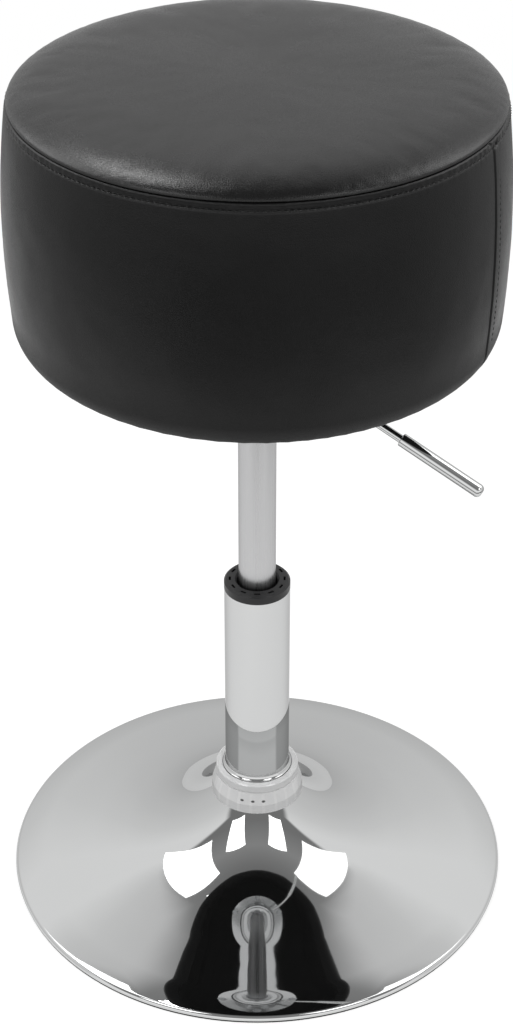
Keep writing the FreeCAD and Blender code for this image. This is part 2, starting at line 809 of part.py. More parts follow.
def make_valve():
    """Valve body under the cylinder's head, its seal, and the release pin that stands out of it."""
    flange = cylinder_bore - s.seat_gap
    groove = flange - s.valve_seal
    groove_low = (valve_bottom + valve_seat - s.valve_seal) / 2
    groove_high = groove_low + s.valve_seal
    bore = s.pin_radius + s.running_gap
    neck = head_bore - s.seat_gap
    revolve("valve_body", [
        (bore, valve_bottom),
        (flange, valve_bottom),
        (flange, groove_low),
        (groove, groove_low),
        (groove, groove_high),
        (flange, groove_high),
        (flange, valve_seat),
        (neck, valve_seat),
        (neck, valve_top),
        (bore, valve_top),
    ])
    revolve("valve_seal", box_outline(groove + s.seat_gap, groove_low, flange, groove_high))
    button_bottom = dome_height - s.pin_button_height
    revolve("release_pin", [
        (0, button_bottom - s.pin_shank),
        (s.pin_radius, button_bottom - s.pin_shank),
        (s.pin_radius, button_bottom),
        (button_radius, button_bottom),
        (button_radius, dome_height),
        (0, dome_height + button_radius, button_radius, LEFT),
    ])


def make_taper_socket():
    """Socket that grips the cylinder's tapered head."""
    low_bore = s.cylinder_radius + s.seat_gap
    high_bore = low_bore - s.socket_height * tangent(s.cylinder_taper_angle)
    revolve("taper_socket", [
        (low_bore, cup_bottom),
        (socket_radius, cup_bottom),
        (socket_radius, socket_top),
        (high_bore, socket_top),
    ])


def make_mechanism_cup():
    """Pressed cup under the seat plate, with a slot for the lever."""
    bore = socket_radius + s.weld_gap
    flat_radius = cup_radius - s.cup_corner
    corner_top = cup_bottom + s.cup_corner
    inner = cup_radius - s.cup_sheet
    body, _ = revolve("mechanism_cup", [
        (bore, cup_bottom),
        (flat_radius, cup_bottom),
        (cup_radius, corner_top, s.cup_corner, LEFT),
        (cup_radius, plate_bottom - s.cup_sheet),
        (cup_flange_radius, plate_bottom - s.cup_sheet),
        (cup_flange_radius, plate_bottom),
        (inner, plate_bottom),
        (inner, corner_top),
        (flat_radius, cup_bottom + s.cup_sheet, s.cup_corner - s.cup_sheet, RIGHT),
        (bore, cup_bottom + s.cup_sheet),
    ])
    slot = new_sketch(body, "lever_slot", "YZ_Plane")
    half_width = s.lever_rod_radius + s.lever_slot_play
    raised = s.lever_droop - s.lever_travel
    slot_bottom = (pivot_height - (cup_radius - pivot_offset) * tangent(s.lever_droop)
                   - half_width / cosine(s.lever_droop))
    slot_top = pivot_height - (inner - pivot_offset) * tangent(raised) + half_width / cosine(raised)
    draw(slot, box_outline(-half_width, slot_bottom, half_width, slot_top))
    pocket(body, slot, cup_radius * 2, reverse=True)
    place(body, (0, 0, 0), -s.lever_azimuth)


def make_pivot():
    """Bracket welded to the socket, and the pin that the rocker tilts on."""
    ear_inner = rocker_half + s.side_play
    ear_outer = ear_inner + s.bracket_sheet
    edge = socket_radius + s.weld_gap
    ear_round = pivot_offset - edge
    bottom = socket_top - s.bracket_lap
    bracket = new_body("pivot_bracket")
    side = new_sketch(bracket, "bracket_side")
    draw(side, [
        (edge, bottom),
        (pivot_offset + ear_round, bottom),
        (pivot_offset + ear_round, pivot_height),
        (pivot_offset, pivot_height + ear_round, ear_round, LEFT),
        (edge, pivot_height, ear_round, LEFT),
    ])
    pad(bracket, side, ear_outer * 2, symmetric=True)
    gap = new_sketch(bracket, "bracket_gap", "YZ_Plane")
    draw(gap, box_outline(-ear_inner, bottom + s.bracket_sheet, ear_inner, pivot_height + 2 * ear_round))
    pocket(bracket, gap, pivot_offset * 4, symmetric=True)
    hole = new_sketch(bracket, "bracket_hole")
    draw_circle(hole, pivot_offset, pivot_height, s.pivot_pin_radius + s.seat_gap)
    pocket(bracket, hole, ear_outer * 4, symmetric=True)
    place(bracket, (0, 0, 0), -s.lever_azimuth)
    pin, _ = revolve("pivot_pin", [
        (0, -ear_outer - s.pivot_head),
        (s.pivot_head_radius, -ear_outer - s.pivot_head),
        (s.pivot_head_radius, -ear_outer),
        (s.pivot_pin_radius, -ear_outer),
        (s.pivot_pin_radius, ear_outer + s.pivot_head),
        (0, ear_outer + s.pivot_head),
    ])
    place(pin, (pivot_x, pivot_y, pivot_height), -s.lever_azimuth, roll=-90)


def place_on_lever(body):
    """The lever's own frame: its origin on the pivot, its X axis out along the rod."""
    place(body, (pivot_x, pivot_y, pivot_height), -s.lever_azimuth, pitch=s.lever_droop)


def make_release_rocker():
    """Block on the pivot pin: a socket for the rod outside, a finger over the release pin inside."""
    finger_end = -pivot_offset / cosine(s.lever_droop) - s.rocker_finger_overrun
    finger_top = s.rocker_finger - rocker_half
    body = new_body("release_rocker")
    side = new_sketch(body, "rocker_side")
    draw(side, [
        (finger_end, -rocker_half),
        (s.rocker_nose, -rocker_half),
        (s.rocker_nose, rocker_half),
        (-s.rocker_heel, rocker_half),
        (-s.rocker_heel - rocker_half + finger_top, finger_top),
        (finger_end + s.rocker_bevel, finger_top),
        (finger_end, finger_top - s.rocker_bevel),
    ])
    pad(body, side, s.rocker_thickness, symmetric=True)
    hole = new_sketch(body, "rocker_hole")
    draw_circle(hole, 0, 0, s.pivot_pin_radius + s.running_gap)
    pocket(body, hole, s.rocker_thickness * 2, symmetric=True)
    rod_hole = new_sketch(body, "rocker_rod_hole", "YZ_Plane", (0, 0, s.rocker_nose))
    draw_circle(rod_hole, 0, 0, s.lever_rod_radius + s.seat_gap)
    pocket(body, rod_hole, s.rocker_nose - s.rod_setback)
    place_on_lever(body)


def make_lever():
    """Straight rod set in the rocker, with a round-nosed handle sleeve on its end."""
    handle_start = s.lever_reach - s.handle_length
    rod_end = s.lever_reach - s.handle_plug
    rod, _ = revolve("lever_rod", [
        (s.rod_setback, 0),
        (rod_end, 0),
        (rod_end, s.lever_rod_radius),
        (s.rod_setback, s.lever_rod_radius),
    ], axis="H_Axis")
    place_on_lever(rod)
    bore = s.lever_rod_radius + s.seat_gap
    handle, _ = revolve("lever_handle", [
        (rod_end, 0),
        (s.lever_reach, 0),
        (s.lever_reach, s.handle_radius - s.handle_nose),
        (s.lever_reach - s.handle_nose, s.handle_radius, s.handle_nose, LEFT),
        (handle_start + s.handle_edge, s.handle_radius),
        (handle_start, s.handle_radius - s.handle_edge),
        (handle_start, bore),
        (rod_end, bore),
    ], axis="H_Axis")
    place_on_lever(handle)


def make_seat_plate():
    """Round plate between the cup and the seat, with its screws, washers and tee nuts."""
    body, _ = revolve("seat_plate", [
        (s.plate_bore, plate_bottom),
        (plate_radius - s.plate_edge, plate_bottom),
        (plate_radius, plate_bottom + s.plate_edge),
        (plate_radius, plate_top),
        (s.plate_bore, plate_top),
    ])
    hole_radius = s.screw_radius + s.screw_hole_play
    ring_holes(body, screw_circle, hole_radius, s.screw_count, plate_top)
    washer_bottom = plate_bottom - s.screw_washer_sheet
    washers, washer = revolve("plate_washers", box_outline(hole_radius, washer_bottom,
                                                          s.screw_washer_radius, plate_bottom),
                              offset=screw_circle)
    ring_of(washers, [washer], s.screw_count)
    make_screws(washer_bottom)
    make_tee_nuts()


def make_screws(head_top):
    """Pan-head screws with hexagon sockets, driven up from below."""
    head_bottom = head_top - s.screw_head_height
    screws, turned = revolve("plate_screws", [
        (0, head_bottom),
        (s.screw_head_radius - s.screw_crown, head_bottom),
        (s.screw_head_radius, head_bottom + s.screw_crown),
        (s.screw_head_radius, head_top),
        (s.screw_radius, head_top),
        (s.screw_radius, head_top + s.screw_length),
        (0, head_top + s.screw_length),
    ], offset=screw_circle)
    key = new_sketch(screws, "screw_key", "XY_Plane", (screw_circle, 0, head_bottom))
    draw(key, hexagon(s.screw_key_flats))
    ring_of(screws, [turned, pocket(screws, key, s.screw_key_depth, reverse=True)], s.screw_count)


def make_tee_nuts():
    """Tee nuts let into the top of the board."""
    bore = s.screw_radius + s.seat_gap
    barrel = bore + s.tee_barrel_wall
    flange_bottom = board_top - s.tee_flange
    nuts, nut = revolve("tee_nuts", [
        (bore, board_top - s.tee_barrel_length),
        (barrel, board_top - s.tee_barrel_length),
        (barrel, flange_bottom),
        (s.tee_flange_radius, flange_bottom),
        (s.tee_flange_radius, board_top),
        (bore, board_top),
    ], offset=screw_circle)
    ring_of(nuts, [nut], s.screw_count)


# Drum seat profile: a bulging band, a rounded lower corner, and rolled edges that meet at the seam
hem_bottom = board_bottom - s.cover
bulge_centre = s.seat_radius - s.seat_bulge_radius
bulge_height = hem_bottom + s.seat_bulge_height
band_top = hem_bottom + s.seat_band_height
corner_height = hem_bottom + s.seat_corner
corner_reach = root((s.seat_bulge_radius - s.seat_corner) * (s.seat_bulge_radius - s.seat_corner)
                    - (bulge_height - corner_height) * (bulge_height - corner_height))
corner_centre = bulge_centre + corner_reach
bulge_low_cos = corner_reach / (s.seat_bulge_radius - s.seat_corner)
bulge_low_sin = (corner_height - bulge_height) / (s.seat_bulge_radius - s.seat_corner)
bulge_high_sin = (band_top - bulge_height) / s.seat_bulge_radius
bulge_high_cos = root(1 - bulge_high_sin * bulge_high_sin)
roll_reach = s.seat_bulge_radius - s.hem_roll
roll_radius = bulge_centre + roll_reach * bulge_high_cos
roll_height = bulge_height + roll_reach * bulge_high_sin
board_radius = corner_centre - s.board_inset
hem_radius = board_radius - s.hem_width


def band_low(depth):
    """Where the corner runs into the bulge, at a depth under the band's face."""
    reach = s.seat_bulge_radius - depth
    return bulge_centre + reach * bulge_low_cos, bulge_height + reach * bulge_low_sin


def band_high(depth):
    """Where the bulge runs into the rolled edge, at a depth under the band's face."""
    reach = s.seat_bulge_radius - depth
    return bulge_centre + reach * bulge_high_cos, bulge_height + reach * bulge_high_sin


def band_end(depth):
    """The end of the band's rolled edge."""
    reach = s.hem_roll - depth
    return roll_radius + reach * cosine(s.hem_turn), roll_height + reach * sine(s.hem_turn)


# Top panel: the edge roll ends just above the band's, then shoulder and crown follow tangentially
panel_roll_radius = band_high(0)[0] - s.panel_inset - s.hem_roll
panel_roll_height = (band_end(0)[1] + s.seam_gap
                     - (s.hem_roll - s.cover) * cosine(s.panel_turn))
shoulder_centre = panel_roll_radius - (s.panel_shoulder - s.hem_roll) * sine(s.panel_shoulder_angle)
shoulder_height = panel_roll_height - (s.panel_shoulder - s.hem_roll) * cosine(s.panel_shoulder_angle)


def panel_end(depth):
    """The end of the top panel's rolled edge, at a depth under its face."""
    reach = s.hem_roll - depth
    return panel_roll_radius + reach * sine(s.panel_turn), panel_roll_height + reach * cosine(s.panel_turn)


def shoulder_end(depth):
    """Where the shoulder runs into the rolled edge."""
    reach = s.panel_shoulder - depth
    return (shoulder_centre + reach * sine(s.panel_shoulder_angle),
            shoulder_height + reach * cosine(s.panel_shoulder_angle))


def crown_end(depth):
    """Where the crown runs into the shoulder."""
    reach = s.panel_shoulder - depth
    return (shoulder_centre + reach * sine(s.panel_crown_angle),
            shoulder_height + reach * cosine(s.panel_crown_angle))


def crown_radius(depth):
    """Radius of the crown arc that is level on the axis and tangent to the shoulder."""
    return shoulder_centre / sine(s.panel_crown_angle) + s.panel_shoulder - depth


def crown_top(depth):
    """Height of the crown on the axis."""
    rise = crown_radius(depth) * (1 - cosine(s.panel_crown_angle))
    return crown_end(depth)[1] + rise


def make_seat_board():
    """Plywood disc with stepped holes for the tee nuts."""
    body, _ = revolve("seat_board", box_outline(0, board_bottom, board_radius, board_top))
    barrel_hole = new_sketch(body, "board_barrel_hole", "XY_Plane", (0, 0, board_top))
    barrel = s.screw_radius + s.seat_gap + s.tee_barrel_wall
    draw_circle(barrel_hole, screw_circle, 0, barrel + s.soft_gap)
    flange_hole = new_sketch(body, "board_flange_hole", "XY_Plane", (0, 0, board_top))
    draw_circle(flange_hole, screw_circle, 0, s.tee_flange_radius + s.soft_gap)
    cuts = [pocket(body, barrel_hole), pocket(body, flange_hole, s.tee_flange + s.seat_gap)]
    ring_of(body, cuts, s.screw_count)


def make_side_cover():
    """Band of covering with its hem turned under the board, and an upright seam."""
    body, _ = revolve("seat_side_cover", [
        (hem_radius, hem_bottom),
        (corner_centre, hem_bottom),
        (*band_low(0), s.seat_corner, LEFT),
        (*band_high(0), s.seat_bulge_radius, LEFT),
        (*band_end(0), s.hem_roll, LEFT),
        band_end(s.cover),
        (*band_high(s.cover), s.hem_roll - s.cover, RIGHT),
        (*band_low(s.cover), s.seat_bulge_radius - s.cover, RIGHT),
        (corner_centre, board_bottom, s.seat_corner - s.cover, RIGHT),
        (hem_radius, board_bottom),
    ])
    seam = new_sketch(body, "side_seam")
    depth = s.side_seam_depth
    draw(seam, [
        (*band_low(depth), s.seat_bulge_radius - depth, RIGHT),
        band_low(-depth),
        (*band_high(-depth), s.seat_bulge_radius + depth, LEFT),
        band_high(depth),
    ])
    groove = body.newObject("PartDesign::Groove", "side_seam_groove")
    groove.Profile = seam
    groove.ReferenceAxis = (seam, ["V_Axis"])
    groove.setExpression("Angle", s.side_seam_angle.formula)
    place(body, (0, 0, 0), -s.side_seam_azimuth)


def make_top_cover():
    """Crowned top panel with a rounded shoulder and an edge drawn in at the seam."""
    revolve("seat_top_cover", [
        (0, crown_top(s.cover)),
        (*crown_end(s.cover), crown_radius(s.cover), RIGHT),
        (*shoulder_end(s.cover), s.panel_shoulder - s.cover, RIGHT),
        (*panel_end(s.cover), s.hem_roll - s.cover, RIGHT),
        panel_end(0),
        (*shoulder_end(0), s.hem_roll, LEFT),
        (*crown_end(0), s.panel_shoulder, LEFT),
        (0, crown_top(0), crown_radius(0), LEFT),
    ])


def make_seat_foam():
    """Foam drum that fills the cover, wraps the board's edge and dips at the seam."""
    skin = s.cover + s.soft_gap
    wrap = board_radius + s.soft_gap
    floor = board_bottom + s.soft_gap
    rest = board_top + s.soft_gap
    notch_radius = panel_roll_radius - s.foam_seam_notch
    revolve("seat_foam", [
        (0, rest),
        (wrap, rest),
        (wrap, floor),
        (corner_centre, floor),
        (*band_low(skin), s.seat_corner - skin, LEFT),
        (*band_high(skin), s.seat_bulge_radius - skin, LEFT),
        (notch_radius, panel_roll_height),
        shoulder_end(skin),
        (*crown_end(skin), s.panel_shoulder - skin, LEFT),
        (0, crown_top(skin), crown_radius(skin), LEFT),
    ])


def make_dust_cover():
    """Thin cloth under the board that steps down over the cover's hem."""
    step_start = hem_radius - s.dust_step
    step_end = hem_radius - s.soft_gap
    lap_top = hem_bottom - s.seat_gap
    dust_radius = board_radius - s.dust_inset
    body, _ = revolve("dust_cover", [
        (s.plate_bore, plate_top),
        (step_start - s.dust_cloth, plate_top),
        (step_end - s.dust_cloth, lap_top - s.dust_cloth),
        (dust_radius, lap_top - s.dust_cloth),
        (dust_radius, lap_top),
        (step_end, lap_top),
        (step_start, board_bottom),
        (s.plate_bore, board_bottom),
    ])
    ring_holes(body, screw_circle, s.screw_radius + s.screw_hole_play, s.screw_count, board_bottom)


make_base_shell()
make_floor_ring()
make_hub_socket()
make_brace_plate()
make_collar()
make_stand_tube()
make_tube_end_plate()
make_guide_bush()
make_bearing()
make_spindle()
make_gas_cylinder()
make_valve()
make_taper_socket()
make_mechanism_cup()
make_pivot()
make_release_rocker()
make_lever()
make_seat_plate()
make_seat_board()
make_side_cover()
make_top_cover()
make_seat_foam()
make_dust_cover()
doc.recompute()

for item in doc.Objects:
    if "Invalid" in item.State or "Error" in item.State:
        raise RuntimeError(f"{item.Label} failed: {item.State}")
for label, body in parts.items():
    if body.Shape.isNull() or not body.Shape.isValid():
        raise RuntimeError(f"{label} has no valid shape")

os.makedirs("parts", exist_ok=True)
for label, body in parts.items():
    body.Shape.exportStep(f"parts/{label}.step")
    print(f"{label}: {len(body.Shape.Solids)} solids, {body.Shape.Volume:.1f} mm3")
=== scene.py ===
import math
from collections import namedtuple

import bpy
import numpy as np
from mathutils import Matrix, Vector, noise


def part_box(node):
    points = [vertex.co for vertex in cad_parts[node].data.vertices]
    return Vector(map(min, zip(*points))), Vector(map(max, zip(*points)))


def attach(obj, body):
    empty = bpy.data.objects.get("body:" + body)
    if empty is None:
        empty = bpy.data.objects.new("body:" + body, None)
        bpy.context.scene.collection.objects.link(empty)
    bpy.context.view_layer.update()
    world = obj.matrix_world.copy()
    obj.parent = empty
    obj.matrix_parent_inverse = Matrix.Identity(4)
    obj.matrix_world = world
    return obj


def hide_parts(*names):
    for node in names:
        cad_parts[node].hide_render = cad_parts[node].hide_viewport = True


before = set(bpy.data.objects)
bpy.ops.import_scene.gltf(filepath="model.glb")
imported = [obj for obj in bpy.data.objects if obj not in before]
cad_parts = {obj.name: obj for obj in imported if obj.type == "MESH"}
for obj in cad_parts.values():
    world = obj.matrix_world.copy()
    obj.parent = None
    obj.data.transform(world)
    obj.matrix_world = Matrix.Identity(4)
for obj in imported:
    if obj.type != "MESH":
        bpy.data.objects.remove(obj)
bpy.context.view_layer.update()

# Pieces are drawn in millimetres, with heights from the floor and reaches from the column's axis.
# Shaders and the stage are in metres. Angles are written in degrees unless a comment says radians.
MM = 0.001
WHITE = (1.0, 1.0, 1.0)


# Shader nodes

# Places of the colour sockets on a Mix node
MIX_FACTOR, MIX_FIRST, MIX_SECOND, MIX_RESULT = 0, 6, 7, 2


class Nodes:
    """A node tree, emptied, with short calls for the nodes that fill it."""

    def __init__(self, owner):
        owner.use_nodes = True
        self.tree = owner.node_tree
        self.tree.nodes.clear()

    def new(self, kind, **settings):
        """Add a node and set its properties."""
        node = self.tree.nodes.new("ShaderNode" + kind)
        for name, value in settings.items():
            setattr(node, name, value)
        return node

    def plug(self, socket, value):
        """Lead a node's output to a socket, or put a constant on it."""
        if isinstance(value, bpy.types.NodeSocket):
            self.tree.links.new(value, socket)
        elif socket.type == "RGBA":
            socket.default_value = (*value, 1.0)
        else:
            socket.default_value = value

    def feed(self, node, **inputs):
        """Fill a node's inputs by their names."""
        for name, value in inputs.items():
            self.plug(node.inputs[name.replace("_", " ")], value)
        return node

    def join(self, kind, *values, **settings):
        """Add a node, fill its inputs in their order, and give its first output."""
        node = self.new(kind, **settings)
        for socket, value in zip(node.inputs, values):
            self.plug(socket, value)
        return node.outputs[0]

    def maths(self, operation, *values):
        return self.join("Math", *values, operation=operation)

    def span(self, value, source, target, kind="LINEAR"):
        """Carry a value from one range to another, held at the ends."""
        node = self.new("MapRange", interpolation_type=kind)
        self.feed(node, Value=value, From_Min=source[0], From_Max=source[1],
                  To_Min=target[0], To_Max=target[1])
        return node.outputs["Result"]


class Paint(Nodes):
    """A principled material and the textures that feed it."""

    def __init__(self, name, **sockets):
        self.material = bpy.data.materials.new(name)
        super().__init__(self.material)
        self.shader = self.new("BsdfPrincipled")
        self.coat(**sockets)
        self.feed(self.new("OutputMaterial"), Surface=self.shader.outputs["BSDF"])
        self.place = self.new("TexCoord").outputs["Object"]

    def coat(self, **sockets):
        """Fill the shader's own inputs."""
        self.feed(self.shader, **sockets)

    def stretched(self, x, y, z):
        """Object coordinates scaled along each axis."""
        node = self.feed(self.new("Mapping"), Vector=self.place, Scale=(x, y, z))
        return node.outputs["Vector"]

    def axes(self):
        """Object coordinates as the outputs X, Y and Z."""
        return self.feed(self.new("SeparateXYZ"), Vector=self.place).outputs

    def reach(self):
        """Distance from the column's axis."""
        node = self.new("VectorMath", operation="LENGTH")
        return self.feed(node, Vector=self.stretched(1.0, 1.0, 0.0)).outputs["Value"]

    def height(self):
        """Distance from the floor."""
        return self.axes()["Z"]

    def noise(self, scale, detail=3.0, roughness=0.55, where=None):
        """Smooth noise from 0 to 1."""
        node = self.new("TexNoise")
        self.feed(node, Vector=where or self.place, Scale=scale, Detail=detail,
                  Roughness=roughness)
        return node.outputs["Fac"]

    def cells(self, scale, feature="F1"):
        """Distance from the middle of a cell, or from its edge."""
        node = self.new("TexVoronoi", feature=feature)
        return self.feed(node, Vector=self.place, Scale=scale).outputs["Distance"]

    def blend(self, factor, first, second):
        """A colour between two colours."""
        node = self.new("Mix", data_type="RGBA")
        for place, value in ((MIX_FACTOR, factor), (MIX_FIRST, first), (MIX_SECOND, second)):
            self.plug(node.inputs[place], value)
        return node.outputs[MIX_RESULT]

    def bump(self, height, strength, distance):
        node = self.feed(self.new("Bump"), Height=height, Strength=strength, Distance=distance)
        self.coat(Normal=node.outputs["Normal"])


# Materials

METAL_EDGE = (0.62, 0.62, 0.62)  # plated and ground metal at a grazing angle
NOISE_CORE = (0.3, 0.7)  # the range where most of a noise lies

# Collar: ribs behind its clear wall up to the lip, and dark spots at bearings round it, painted
# shade of small slots between the ribs
COLLAR_RIBS = 22
RIB_BEAT = (0.55, 0.92)
COLLAR_LIP = (0.0835, 0.0855)
COLLAR_DULL, COLLAR_PALE = (0.89, 0.895, 0.90), (0.98, 0.98, 0.98)
COLLAR_SHADE_SPOTS = (-110.0, -95.6, -81.8)
SHADE_SPOT_LEVEL = 0.0784
SHADE_SPOT_HALF_HEIGHT = 0.0010
SHADE_SPOT_HALF_WIDTH = 0.044  # radians
SHADE_SPOT_EDGE = (0.5, 1.3)
SHADE_SPOT_COLOUR = (0.05, 0.05, 0.05)

# Painted shade: the creases between the leather's pebbles are coloured darker than the rest
LEATHER_CREASE_SHADE = (0.0015, 0.0015, 0.0015)
LEATHER_DARK, LEATHER_WORN = (0.0026, 0.0026, 0.0027), (0.0044, 0.0044, 0.0046)
DUST_DARK, DUST_PALE = (0.004, 0.004, 0.004), (0.022, 0.022, 0.022)
PLY_DARK, PLY_PALE, PLY_LAYER = (0.38, 0.25, 0.13), (0.62, 0.46, 0.28), (0.55, 0.40, 0.24)
THREAD_DARK, THREAD_PALE = (0.004, 0.004, 0.004), (0.016, 0.016, 0.016)


def dimmed(colour, share):
    """A colour at a share of its brightness."""
    return tuple(share * part for part in colour)


def chrome(name, colour, polish, haze):
    """Plated metal: a mirror with faint waves in the sheet and patches of haze."""
    paint = Paint(name, Metallic=1.0, Specular_Tint=METAL_EDGE)
    cloud = paint.noise(scale=9.0, detail=4.0)
    paint.coat(Base_Color=paint.blend(cloud, dimmed(colour, 0.97), colour),
               Roughness=paint.span(cloud, (0.35, 0.75), (polish, haze)))
    paint.bump(paint.noise(scale=16.0, detail=2.0), strength=0.04, distance=0.002)
    return paint.material


def brushed(name, colour, stretch, rough, depth):
    """Ground metal: fine scratches along one direction."""
    paint = Paint(name, Metallic=1.0, Specular_Tint=METAL_EDGE)
    scratch = paint.noise(scale=1.0, detail=5.0, roughness=0.65, where=paint.stretched(*stretch))
    paint.coat(Base_Color=paint.blend(scratch, dimmed(colour, 0.80), colour),
               Roughness=paint.span(scratch, NOISE_CORE, (rough - 0.06, rough + 0.08)))
    paint.bump(scratch, strength=depth, distance=0.0004)
    return paint.material


def cast(name, colour, rough, metal=1.0):
    """Plain metal with a fine grain and soft stains."""
    paint = Paint(name, Metallic=metal)
    stain = paint.noise(scale=60.0, detail=4.0)
    paint.coat(Base_Color=paint.blend(stain, dimmed(colour, 0.78), colour),
               Roughness=paint.span(stain, NOISE_CORE, (rough - 0.05, rough + 0.1)))
    paint.bump(paint.noise(scale=1900.0), strength=0.12, distance=0.0003)
    return paint.material


def moulded(name, colour, rough, grain=1600.0, depth=0.15):
    """Moulded plastic, rubber or foam with a fine grain."""
    paint = Paint(name, Specular_IOR_Level=0.4)
    broad = paint.noise(scale=90.0)
    paint.coat(Base_Color=paint.blend(broad, dimmed(colour, 0.8), colour),
               Roughness=paint.span(broad, NOISE_CORE, (rough - 0.05, rough + 0.07)))
    paint.bump(paint.noise(scale=grain, detail=2.0), strength=depth, distance=0.0003)
    return paint.material


def clear_plastic():
    """Milky clear moulding: whiter where ribs stand behind its wall, with flow lines and three dark
    spots of painted shade.
    """
    paint = Paint("clear_plastic", Transmission_Weight=0.06, IOR=1.49, Specular_IOR_Level=0.8)
    cloud = paint.noise(scale=140.0, detail=4.0)
    axes = paint.axes()
    bearing = paint.maths("ARCTAN2", axes["Y"], axes["X"])
    beat = paint.maths("COSINE", paint.maths("MULTIPLY", bearing, COLLAR_RIBS))
    below_lip = paint.span(axes["Z"], COLLAR_LIP, (1.0, 0.0))
    rib = paint.maths("MULTIPLY", paint.span(beat, RIB_BEAT, (0.0, 1.0)), below_lip)
    milky = paint.blend(rib, paint.blend(cloud, COLLAR_DULL, COLLAR_PALE), WHITE)
    up = paint.maths("DIVIDE", paint.maths("SUBTRACT", axes["Z"], SHADE_SPOT_LEVEL), SHADE_SPOT_HALF_HEIGHT)
    # Painted shade: three dark spots on the front stand in for small slots between the ribs lying
    # in shadow
    shade_spots = 0.0
    for shade_spot in COLLAR_SHADE_SPOTS:
        aside = paint.maths("SUBTRACT", bearing, math.radians(shade_spot))
        along = paint.maths("DIVIDE", aside, SHADE_SPOT_HALF_WIDTH)
        apart = paint.maths("ADD", paint.maths("MULTIPLY", along, along),
                            paint.maths("MULTIPLY", up, up))
        shade_spots = paint.maths("ADD", paint.span(apart, SHADE_SPOT_EDGE, (1.0, 0.0)), shade_spots)
    paint.coat(Base_Color=paint.blend(shade_spots, milky, SHADE_SPOT_COLOUR),
               Roughness=paint.span(cloud, NOISE_CORE, (0.03, 0.09)))
    flow = paint.noise(scale=1.0, detail=2.0, roughness=0.5,
                       where=paint.stretched(500.0, 500.0, 60.0))
    paint.bump(flow, strength=0.10, distance=0.0004)
    return paint.material


def leather(name, gloss, rough, measure, where, rougher):
    """Coated fabric with a pebble grain: cells with creases between them, painted darker as shade,
    and a soft sheen.

    As the measure goes through the range where, the range rougher is added to the roughness.
    """
    paint = Paint(name, Specular_IOR_Level=gloss, Sheen_Weight=0.008, Sheen_Roughness=0.5)
    worn = paint.noise(scale=14.0, detail=5.0, roughness=0.6)
    pebble = paint.cells(scale=820.0, feature="DISTANCE_TO_EDGE")
    crease = paint.span(pebble, (0.0, 0.22), (0.0, 1.0))
    shade = paint.blend(worn, LEATHER_DARK, LEATHER_WORN)
    rubbed = paint.maths("ADD", paint.span(worn, NOISE_CORE, (rough - 0.035, rough + 0.035)),
                         paint.span(crease, (0.0, 1.0), (0.08, 0.0)))
    # The creases take the darker colour: painted shade
    paint.coat(Base_Color=paint.blend(crease, LEATHER_CREASE_SHADE, shade),
               Roughness=paint.maths("ADD", rubbed, paint.span(measure(paint), where, rougher)))
    drift = paint.maths("MULTIPLY", paint.noise(scale=700.0, detail=2.0), 0.5)
    pore = paint.maths("MULTIPLY", paint.cells(scale=1900.0), 0.25)
    grain = paint.maths("ADD", paint.maths("MULTIPLY", crease, 0.6), drift)
    paint.bump(paint.maths("ADD", grain, pore), strength=0.22, distance=0.00035)
    return paint.material


def non_woven():
    """Pressed fibre cloth with a grid of bonded dots."""
    paint = Paint("dust_cloth", Roughness=0.9, Specular_IOR_Level=0.2, Sheen_Weight=0.15)
    fibre = paint.noise(scale=1500.0, detail=5.0, roughness=0.7)
    dots = paint.span(paint.cells(scale=620.0), (0.1, 0.35), (0.0, 1.0))
    mixed = paint.maths("MULTIPLY", fibre, dots)
    paint.coat(Base_Color=paint.blend(mixed, DUST_DARK, DUST_PALE))
    paint.bump(mixed, strength=0.4, distance=0.0004)
    return paint.material


def plywood():
    """Ply edges in layers along the height, grain on the faces."""
    paint = Paint("plywood", Roughness=0.7)
    layers = paint.noise(scale=1.0, detail=1.0, roughness=0.3,
                         where=paint.stretched(2.0, 2.0, 700.0))
    grain = paint.noise(scale=1.0, detail=5.0, roughness=0.6,
                        where=paint.stretched(40.0, 900.0, 40.0))
    face = paint.blend(grain, PLY_DARK, PLY_PALE)
    paint.coat(Base_Color=paint.blend(paint.span(layers, (0.4, 0.6), (0.0, 1.0)), face, PLY_LAYER))
    paint.bump(grain, strength=0.2, distance=0.0004)
    return paint.material


def thread():
    """Twisted sewing thread."""
    paint = Paint("black_thread", Roughness=0.6, Specular_IOR_Level=0.35, Sheen_Weight=0.2)
    twist = paint.noise(scale=2600.0, detail=2.0)
    paint.coat(Base_Color=paint.blend(twist, THREAD_DARK, THREAD_PALE))
    paint.bump(twist, strength=0.4, distance=0.0002)
    return paint.material


CHROME = chrome("chrome_plate", (0.585, 0.59, 0.59), polish=0.015, haze=0.05)
BRIGHT = chrome("bright_zinc_plate", (0.60, 0.605, 0.61), polish=0.12, haze=0.24)
SATIN = brushed("satin_tube", (0.58, 0.58, 0.585), stretch=(900.0, 900.0, 3.0),
                rough=0.30, depth=0.10)
STEEL = brushed("turned_steel", (0.36, 0.36, 0.37), stretch=(20.0, 20.0, 1500.0),
                rough=0.36, depth=0.15)
POLISHED = chrome("bearing_steel", (0.50, 0.50, 0.51), polish=0.08, haze=0.16)
ZINC = cast("zinc_plate", (0.56, 0.57, 0.58), rough=0.30)
ALLOY = brushed("turned_alloy", (0.62, 0.62, 0.63), stretch=(20.0, 20.0, 1700.0),
                rough=0.32, depth=0.12)
CLEAR = clear_plastic()
BLACK_PLASTIC = moulded("black_plastic", (0.016, 0.016, 0.017), rough=0.42)
WHITE_PLASTIC = moulded("white_plastic", (0.74, 0.74, 0.71), rough=0.45)
RUBBER = moulded("black_rubber", (0.022, 0.022, 0.022), rough=0.75, grain=900.0, depth=0.3)
